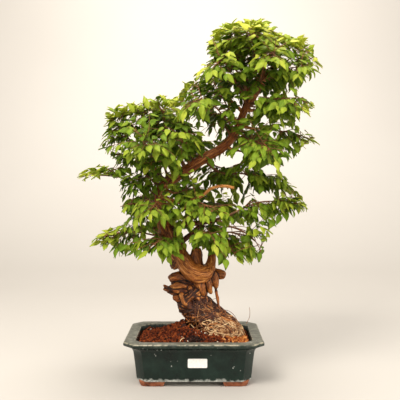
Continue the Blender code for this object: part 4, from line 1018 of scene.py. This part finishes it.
# Leaves and sprays
# This year's shoots: thin red-brown twigs with drooping pointed leaves on alternate sides, folded
# at the midrib, yellow-green at the tips, darker inside and lower down with painted shade, and
# paler at the crown's top with painted light. One leaf is modelled in four forms.
# The leaf's rows, as (how far along it, share of its width), and its width for a length of 1
LEAF_ROWS = ((0.15, 0.10), (0.25, 0.70), (0.39, 1.0), (0.54, 0.96), (0.70, 0.70), (0.86, 0.32), (1.0, 0.02))
LEAF_WIDTH = 0.47
# Its four forms, as (fold at the midrib, droop, twist)
LEAF_FORMS = ((0.10, 0.16, 0.0), (0.07, 0.30, 0.05), (0.14, 0.22, -0.06), (0.05, 0.10, 0.04))
LEAF_THICKNESS = 0.012
STALK_RADIUS = 0.014
STALK_LENGTH = 0.26
VEIN_PAIRS = 11
# From here on in millimetres
LEAF_LENGTH = (14.0, 24.0)
TWIG_SPACING = 5.6
TWIG_LENGTH = (24.0, 44.0)
TWIG_RADIUS = (0.64, 0.32)
STEM_RADIUS = (1.5, 0.9)
LEAF_SPACING = 6.4
BARE_FOOT = 5.0
# The crown's front view is filled cell by cell, from above each cell and from stems in reach of it
CELL = 5.0
CROWN_ACROSS, CROWN_HEIGHTS = (-220, 220), (170, 600)
FILL_LIFT = 8.0
FILL_REACH = 62.0
# How a leaf lies: along its twig, aside from it, outwards in the crown, and how much it hangs
LIE_ALONG, LIE_ASIDE, LIE_OUTWARD, LIE_DOWN = 0.55, (0.45, 0.9), 0.2, (0.15, 0.8)
FACE_UP, FACE_OUTWARD = (0.5, 1.0), (0.2, 0.9)
# A twig's shade at the spray's foot, how much paler it is at the tip, and how much painted shade
# darkens it per mm below the top
SPRAY_SHADE = (0.26, 0.2, 0.005)
# Leaves this close under the crown's upper outline stand up to the light and are painted paler,
# as painted light
TOP_LEAVES = 25.0
TOP_RISE = 0.5
TOP_PAINTED_LIGHT = 0.25
# Painted light: the whole top is paler the higher it is
PAINTED_LIGHT_ABOVE = 490
PAINTED_LIGHT_RISE = 0.0016
# Where the crown is closed by more twigs: above a height, left of an x, for a share of its cells
CLOSED = ((540, 300, 0.25), (400, -50, 0.12))
CROWN_OUTLINE = ((51, 594), (65, 594), (84, 591), (96, 596), (116, 585), (123, 575), (153, 566), (171, 567),
    (185, 550), (187, 539), (202, 519), (202, 512), (183, 495), (172, 498), (167, 482), (161, 476),
    (159, 469), (179, 465), (188, 450), (182, 436), (169, 436), (161, 423), (161, 414), (179, 408),
    (196, 392), (167, 380), (147, 364), (127, 342), (147, 327), (163, 307), (182, 281), (163, 272),
    (127, 257), (113, 240), (108, 227), (100, 210), (97, 195), (85, 193), (78, 185), (55, 197), (42, 207),
    (43, 180), (32, 180), (27, 204), (13, 204), (-3, 215), (-15, 213), (-19, 225), (-30, 207), (-30, 195),
    (-53, 189), (-70, 195), (-87, 209), (-97, 201), (-114, 199), (-129, 201), (-145, 199), (-152, 207),
    (-164, 214), (-192, 220), (-170, 240), (-147, 251), (-116, 268), (-135, 276), (-137, 303), (-137, 331),
    (-162, 337), (-202, 326), (-212, 335), (-190, 348), (-164, 356), (-139, 348), (-146, 360), (-156, 373),
    (-175, 383), (-166, 402), (-161, 426), (-158, 446), (-145, 453), (-114, 457), (-101, 459), (-80, 465),
    (-66, 469), (-41, 465), (-37, 474), (-24, 493), (-8, 507), (6, 525), (19, 528), (11, 539), (8, 553),
    (21, 577))
# Openings in the leaves, as (x, z, half width, half height): clear through, and clear to the wood
SKY = ((5, 399, 8, 5), (62, 368, 9, 12), (38, 359, 16, 11), (84, 447, 5, 9), (103, 429, 9, 5),
    (67, 335, 9, 5), (106, 300, 15, 10), (57, 247, 19, 11), (112, 348, 12, 9), (91, 225, 8, 9),
    (27, 264, 6, 5), (66, 286, 6, 4), (26, 415, 5, 6), (28, 444, 10, 5), (1, 423, 8, 4), (57, 440, 6, 8),
    (58, 459, 5, 6), (98, 470, 5, 4), (150, 514, 5, 4), (48, 481, 4, 4), (78, 415, 6, 5), (117, 406, 4, 6),
    (147, 472, 4, 6), (-115, 347, 7, 5), (-115, 399, 6, 6), (-59, 346, 7, 6), (-28, 353, 9, 7),
    (-108, 418, 5, 4), (-115, 300, 6, 3), (-90, 239, 8, 6), (-28, 236, 9, 9), (-10, 256, 8, 4),
    (-33, 273, 4, 5), (-15, 427, 8, 5))
TO_THE_WOOD = ((-58, 242, 9, 11), (75, 453, 13, 12), (24, 312, 22, 5), (-4, 358, 16, 8), (24, 377, 18, 9),
    (48, 396, 14, 9))
rng = random.Random(11)


def in_crown(x, z):
    """Whether a point of the front view lies inside the crown's outline."""
    inside = False
    for (ax, az), (bx, bz) in zip(CROWN_OUTLINE, CROWN_OUTLINE[1:] + CROWN_OUTLINE[:1]):
        if (az > z) != (bz > z) and x < ax + (bx - ax) * (z - az) / (bz - az):
            inside = not inside
    return inside


def front_view(point):
    """A point's place in the front view, drawn at the trunk's depth, in millimetres."""
    eye = Vector(CAMERA_PLACE) / MM
    seen = eye + (point - eye) * (-eye.y / (point.y - eye.y))
    return seen.x, seen.z


def open_to_view(point):
    """Whether a leaf at a point keeps to the outline and leaves the openings free."""
    x, z = front_view(point)
    if not in_crown(x, z):
        return False
    gaps = SKY + (TO_THE_WOOD if point.y < 4 else ())
    return not any(((x - gap_x) / half_x) ** 2 + ((z - gap_z) / half_z) ** 2 < 1
                   for gap_x, gap_z, half_x, half_z in gaps)


def model_leaf(number, fold, droop, twist):
    """A leaf one unit long, from its stalk's foot along +Y, face up."""
    select_only()
    bpy.ops.mesh.primitive_grid_add(x_subdivisions=2, y_subdivisions=len(LEAF_ROWS) - 1, size=1.0)
    leaf = bpy.context.object
    bpy.ops.object.mode_set(mode="EDIT")
    step = 1.0 / (len(LEAF_ROWS) - 1)
    # A row that has its place waits further down, where the next row's test doesn't find it
    wait = 2.0
    for i, (along, width) in enumerate(LEAF_ROWS):
        row = -0.5 + i * step
        select_in(leaf, "verts", lambda v: abs(v.co.y - row) < 1e-4 and v.co.z > -wait / 2)
        jag = 1.06 if i % 2 else 0.97
        bpy.ops.transform.resize(value=(width * LEAF_WIDTH * jag, 1, 1), center_override=(0, 0, 0))
        bpy.ops.transform.translate(value=(twist * along ** 2, along - row, -droop * along ** 2 - wait))
    bpy.ops.mesh.select_all(action="SELECT")
    bpy.ops.transform.translate(value=(0, 0, wait))
    select_in(leaf, "verts", lambda v: abs(v.co.x - twist * v.co.y ** 2) < 1e-4)
    bpy.ops.transform.translate(value=(0, 0, -fold * LEAF_WIDTH))
    bpy.ops.object.mode_set(mode="OBJECT")
    modify(leaf, "SOLIDIFY", thickness=LEAF_THICKNESS, offset=0.0)
    bpy.ops.mesh.primitive_cylinder_add(vertices=3, radius=STALK_RADIUS, depth=STALK_LENGTH,
                                        location=(0, STALK_LENGTH / 2, -fold * LEAF_WIDTH),
                                        rotation=(math.pi / 2, 0, 0))
    stalk = bpy.context.object
    bpy.ops.object.transform_apply(location=True, rotation=True)
    leaf = join([leaf, stalk], "leaf_form_%d" % number)
    leaf.data.shade_smooth()
    return leaf


# A hornbeam leaf: thin and matt, yellow-green, pleated between its pale side veins, and lit through
# by the light behind it
leaf_green, node, where = new_material("hornbeam_leaf")
tone = node("Attribute", {"attribute_name": "tone"})
across = node("UVMap")
split = node("SeparateXYZ", (), {"Vector": across})
centred = node("Math", {"operation": "SUBTRACT", 1: 0.5}, {0: split.outputs["X"]})
aside = node("Math", {"operation": "ABSOLUTE"}, {0: centred})
slant = node("Math", {"operation": "MULTIPLY_ADD", 1: -0.5}, {0: aside, 2: split.outputs["Y"]})
pairs = node("Math", {"operation": "MULTIPLY", 1: math.tau * VEIN_PAIRS}, {0: slant})
wave = node("Math", {"operation": "SINE"}, {0: pairs})
side_vein = node("MapRange", {"From Min": 0.75, "From Max": 1.0}, {"Value": wave})
midrib = node("MapRange", {"From Min": 0.05, "From Max": 0.02}, {"Value": aside})
veins = node("Math", {"operation": "MAXIMUM"}, {0: side_vein, 1: midrib})
spots = node("TexNoise", {"Scale": per_metre(6.25), "Detail": 3.0}, {"Vector": where})
uneven = node("MapRange", {"To Min": -0.16, "To Max": 0.16}, {"Value": spots})
total = node("Math", {"operation": "ADD"}, {0: tone.outputs["Fac"], 1: uneven})
colour = node("ValToRGB", (), {"Fac": total},
              ((0.0, "#384C0A"), (1.0, "#D6D850"), (0.35, "#708F1A"), (0.65, "#A6B632")))
veined = node("Mix", {"data_type": "RGBA", "blend_type": "SCREEN", 7: linear("#434F1E")},
              {"Factor": veins, 6: colour})
relief = node("Bump", {"Strength": 0.35, "Distance": 0.0005}, {"Height": wave})
surface = set_surface(leaf_green, {"Base Color": veined, "Normal": relief},
                      {"Roughness": 0.5, "Specular IOR Level": 0.22})
shine_through = node("BsdfTranslucent", (), {"Color": veined})
both = node("MixShader", {0: 0.3}, {1: surface, 2: shine_through})
link_up(leaf_green, leaf_green.node_tree.nodes["Material Output"], {"Surface": both})
# A young shoot's bark: red-brown and smooth, its grain drawn coarser than it is
twig_bark, node, where = new_material("young_twig_bark")
grain = node("TexNoise", {"Scale": per_metre(2.38), "Detail": 3.0}, {"Vector": where})
colour = node("ValToRGB", (), {"Fac": grain}, ((0.3, "#47270E"), (0.7, "#98602F")))
set_surface(twig_bark, {"Base Color": colour}, {"Roughness": 0.6})

leaf_forms = [model_leaf(i, *form) for i, form in enumerate(LEAF_FORMS)]
for form in leaf_forms:
    put_on(leaf_green, form)


def leaf_at(foot, along, side, centre, shine):
    """A leaf on a twig: it leans away from the twig, hangs, and turns its face up and outwards."""
    length = rng.uniform(*LEAF_LENGTH)
    x, z = front_view(foot)
    topmost = not in_crown(x, z + TOP_LEAVES)
    outward = Vector((foot.x - centre.x, (foot.y - centre.y) * 1.3, 0)).normalized()
    lie = (along * LIE_ALONG + side * rng.uniform(*LIE_ASIDE) + outward * LIE_OUTWARD
           + Vector((0, 0, (TOP_RISE if topmost else 0.0) - rng.uniform(*LIE_DOWN)))).normalized()
    if not all(open_to_view(foot + lie * length * share) for share in (0, 0.4, 0.75)):
        return None
    face = Vector((0, 0, 1)) * rng.uniform(*FACE_UP) + outward * rng.uniform(*FACE_OUTWARD)
    face += Vector((rng.uniform(-0.4, 0.4), rng.uniform(-0.4, 0.4), 0))
    face = (face - lie * face.dot(lie)).normalized()
    for share in (0.25, 0.4, 0.55, 0.7, 0.85):
        for aside in (-0.14, 0.14):
            x, z = front_view(foot + (lie * share + lie.cross(face) * aside) * length)
            covered.add((round(x / CELL), round(z / CELL)))
    matrix = Matrix((lie.cross(face), lie, face)).transposed().to_4x4()
    matrix = Matrix.Translation(foot * MM) @ matrix @ Matrix.Scale(length * MM, 4)
    # Painted light: leaves at the crown's top are paler, and more so the higher they are
    shine += (TOP_PAINTED_LIGHT if topmost else 0.0) + PAINTED_LIGHT_RISE * max(0.0, foot.z - PAINTED_LIGHT_ABOVE)
    return rng.choice(leaf_forms), matrix, shine + rng.uniform(-0.14, 0.14)


def leafy_twig(start, lead, length, centre, shine, sag=0.05):
    """A twig that sags as it goes, with leaves left and right in turn, cut off after its last leaf."""
    step = LEAF_SPACING / 2
    heading, path, leaves, kept, turn = lead.normalized(), [start.copy()], [], 0, rng.choice((1, -1))
    count = max(3, round(length / step))
    shine += rng.uniform(-0.1, 0.1)
    for j in range(1, count + 1):
        sway = Vector((rng.uniform(-0.06, 0.06), rng.uniform(-0.06, 0.06), -sag))
        heading = (heading + sway).normalized()
        path.append(path[-1] + heading * step)
        if not in_crown(*front_view(path[-1])) or (open_to_view(path[-2]) and not open_to_view(path[-1])):
            break   # it has reached the outline or an opening
        if j * step < BARE_FOOT or (j % 2 and j < count):
            continue
        side = heading.cross(Vector((0, 0, 1))).normalized() * turn * (0.2 if j == count else 1.0)
        turn = -turn
        leaf = leaf_at(path[-1], heading, side, centre, shine + 0.22 * j / count)
        if leaf:
            leaves.append(leaf)
            kept = j
    if not kept:
        return None, []
    thick, thinning = TWIG_RADIUS
    return [(*p, thick - thinning * i / count) for i, p in enumerate(path[:kept + 1])], leaves


# The crown's parts: how high the low one reaches, and where the left pad and the top stand
LOW_CROWN = 330
PAD_X, TOP_X = -60, 90
spines = {name: smooth_path([branch[-1]] + stem) for name, (_, branch, stem) in SPRAYS.items()}
covered = set()
grown = {name: ([], []) for name in SPRAYS}


def crown_centre(spine):
    """The upright that a spray's leaves turn away from: the low crown's, the left pad's or the top's."""
    foot = spine[0]
    return Vector((0 if foot.z < LOW_CROWN else (PAD_X if foot.x < 0 else TOP_X), 0, 0))


def keep(name, twig, leaves):
    """Adds a twig and its leaves to a spray."""
    if twig:
        grown[name][0].append(twig)
        grown[name][1].extend(leaves)


at_foot, at_tip, shaded_below_top = SPRAY_SHADE
for name, spine in spines.items():
    top = max(p.z for p in spine) + 10
    k = rng.uniform(0.3, 1.2)
    number = rng.randrange(2)
    while k < len(spine):
        here, before = spine[int(k)], spine[max(0, int(k) - 1)]
        heading = (spine[1] - spine[0] if int(k) == 0 else here - before).normalized()
        flat = heading.cross(Vector((0, 0, 1))).normalized() * (1 if number % 2 else -1)
        lead = (heading * rng.uniform(0.35, 0.8) + flat * rng.uniform(0.5, 1.0)
                + Vector((0, 0, rng.uniform(-0.35, 0.6))))
        length = rng.uniform(*TWIG_LENGTH) * (1.0 - 0.3 * k / len(spine))
        # A twig's shade: paler towards the spray's tip, and darker with painted shade the lower it lies
        keep(name, *leafy_twig(here, lead, length, crown_centre(spine),
                               at_foot + at_tip * k / len(spine) + shaded_below_top * (here.z - top)))
        k += TWIG_SPACING / 3.0 * rng.uniform(0.75, 1.25)
        number += 1
    last = (spine[-1] - spine[-2]).normalized()
    keep(name, *leafy_twig(spine[-1], last, 16.0, crown_centre(spine), 0.45))

# Longer twigs that fill what the first ones left open, as the grower lets them to close the crown
cells = [(ix, iz) for ix in range(*[round(x / CELL) for x in CROWN_ACROSS])
         for iz in range(*[round(z / CELL) for z in CROWN_HEIGHTS]) if in_crown(ix * CELL, iz * CELL)]
rng.shuffle(cells)
spine_points = [(name, p, front_view(p)) for name, spine in spines.items() for p in spine[::2]]
closing = [(ix, iz) for ix, iz in cells if rng.random() < max(
    [share for above, left_of, share in CLOSED if iz * CELL > above and ix * CELL < left_of], default=0.0)]
for i, (ix, iz) in enumerate(cells * 2 + closing):
    if (ix, iz) in covered and i < 2 * len(cells):
        continue
    x, z = ix * CELL, iz * CELL + FILL_LIFT
    near = [(name, p, seen) for name, p, seen in spine_points
            if math.hypot(seen[0] - x, (seen[1] - z) * 1.2) < FILL_REACH]
    if not near:
        continue
    name, start, seen = rng.choice(near)
    lead = Vector((x - seen[0], rng.uniform(-0.4, 0.4) * FILL_REACH, z - seen[1]))
    keep(name, *leafy_twig(start, lead + Vector((0, 0, 0.15 * lead.length)), lead.length,
                           crown_centre(spines[name]), rng.uniform(0.1, 0.4), 0.03))

for name, spine in spines.items():
    twigs, leaves = grown[name]
    thick, thinning = STEM_RADIUS
    stem = [[(*p, thick - thinning * i / len(spine)) for i, p in enumerate(spine)][::3]]
    twig_piece = limb_curves("twigs", stem + twigs, round_steps=0, smooth=1)
    twig_piece.data.shade_smooth()
    put_on(twig_bark, twig_piece)
    leaves = [copy_of(form, matrix, shine) for form, matrix, shine in leaves]
    spray = join([twig_piece] + leaves, "leafy_" + name)
    finish_piece(spray, "leaf", "spray_" + name)
for form in leaf_forms:
    bpy.data.objects.remove(form)


size = {"cad": [list(corner) for corner in cad_box], "visual": [list(corner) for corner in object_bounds()]}
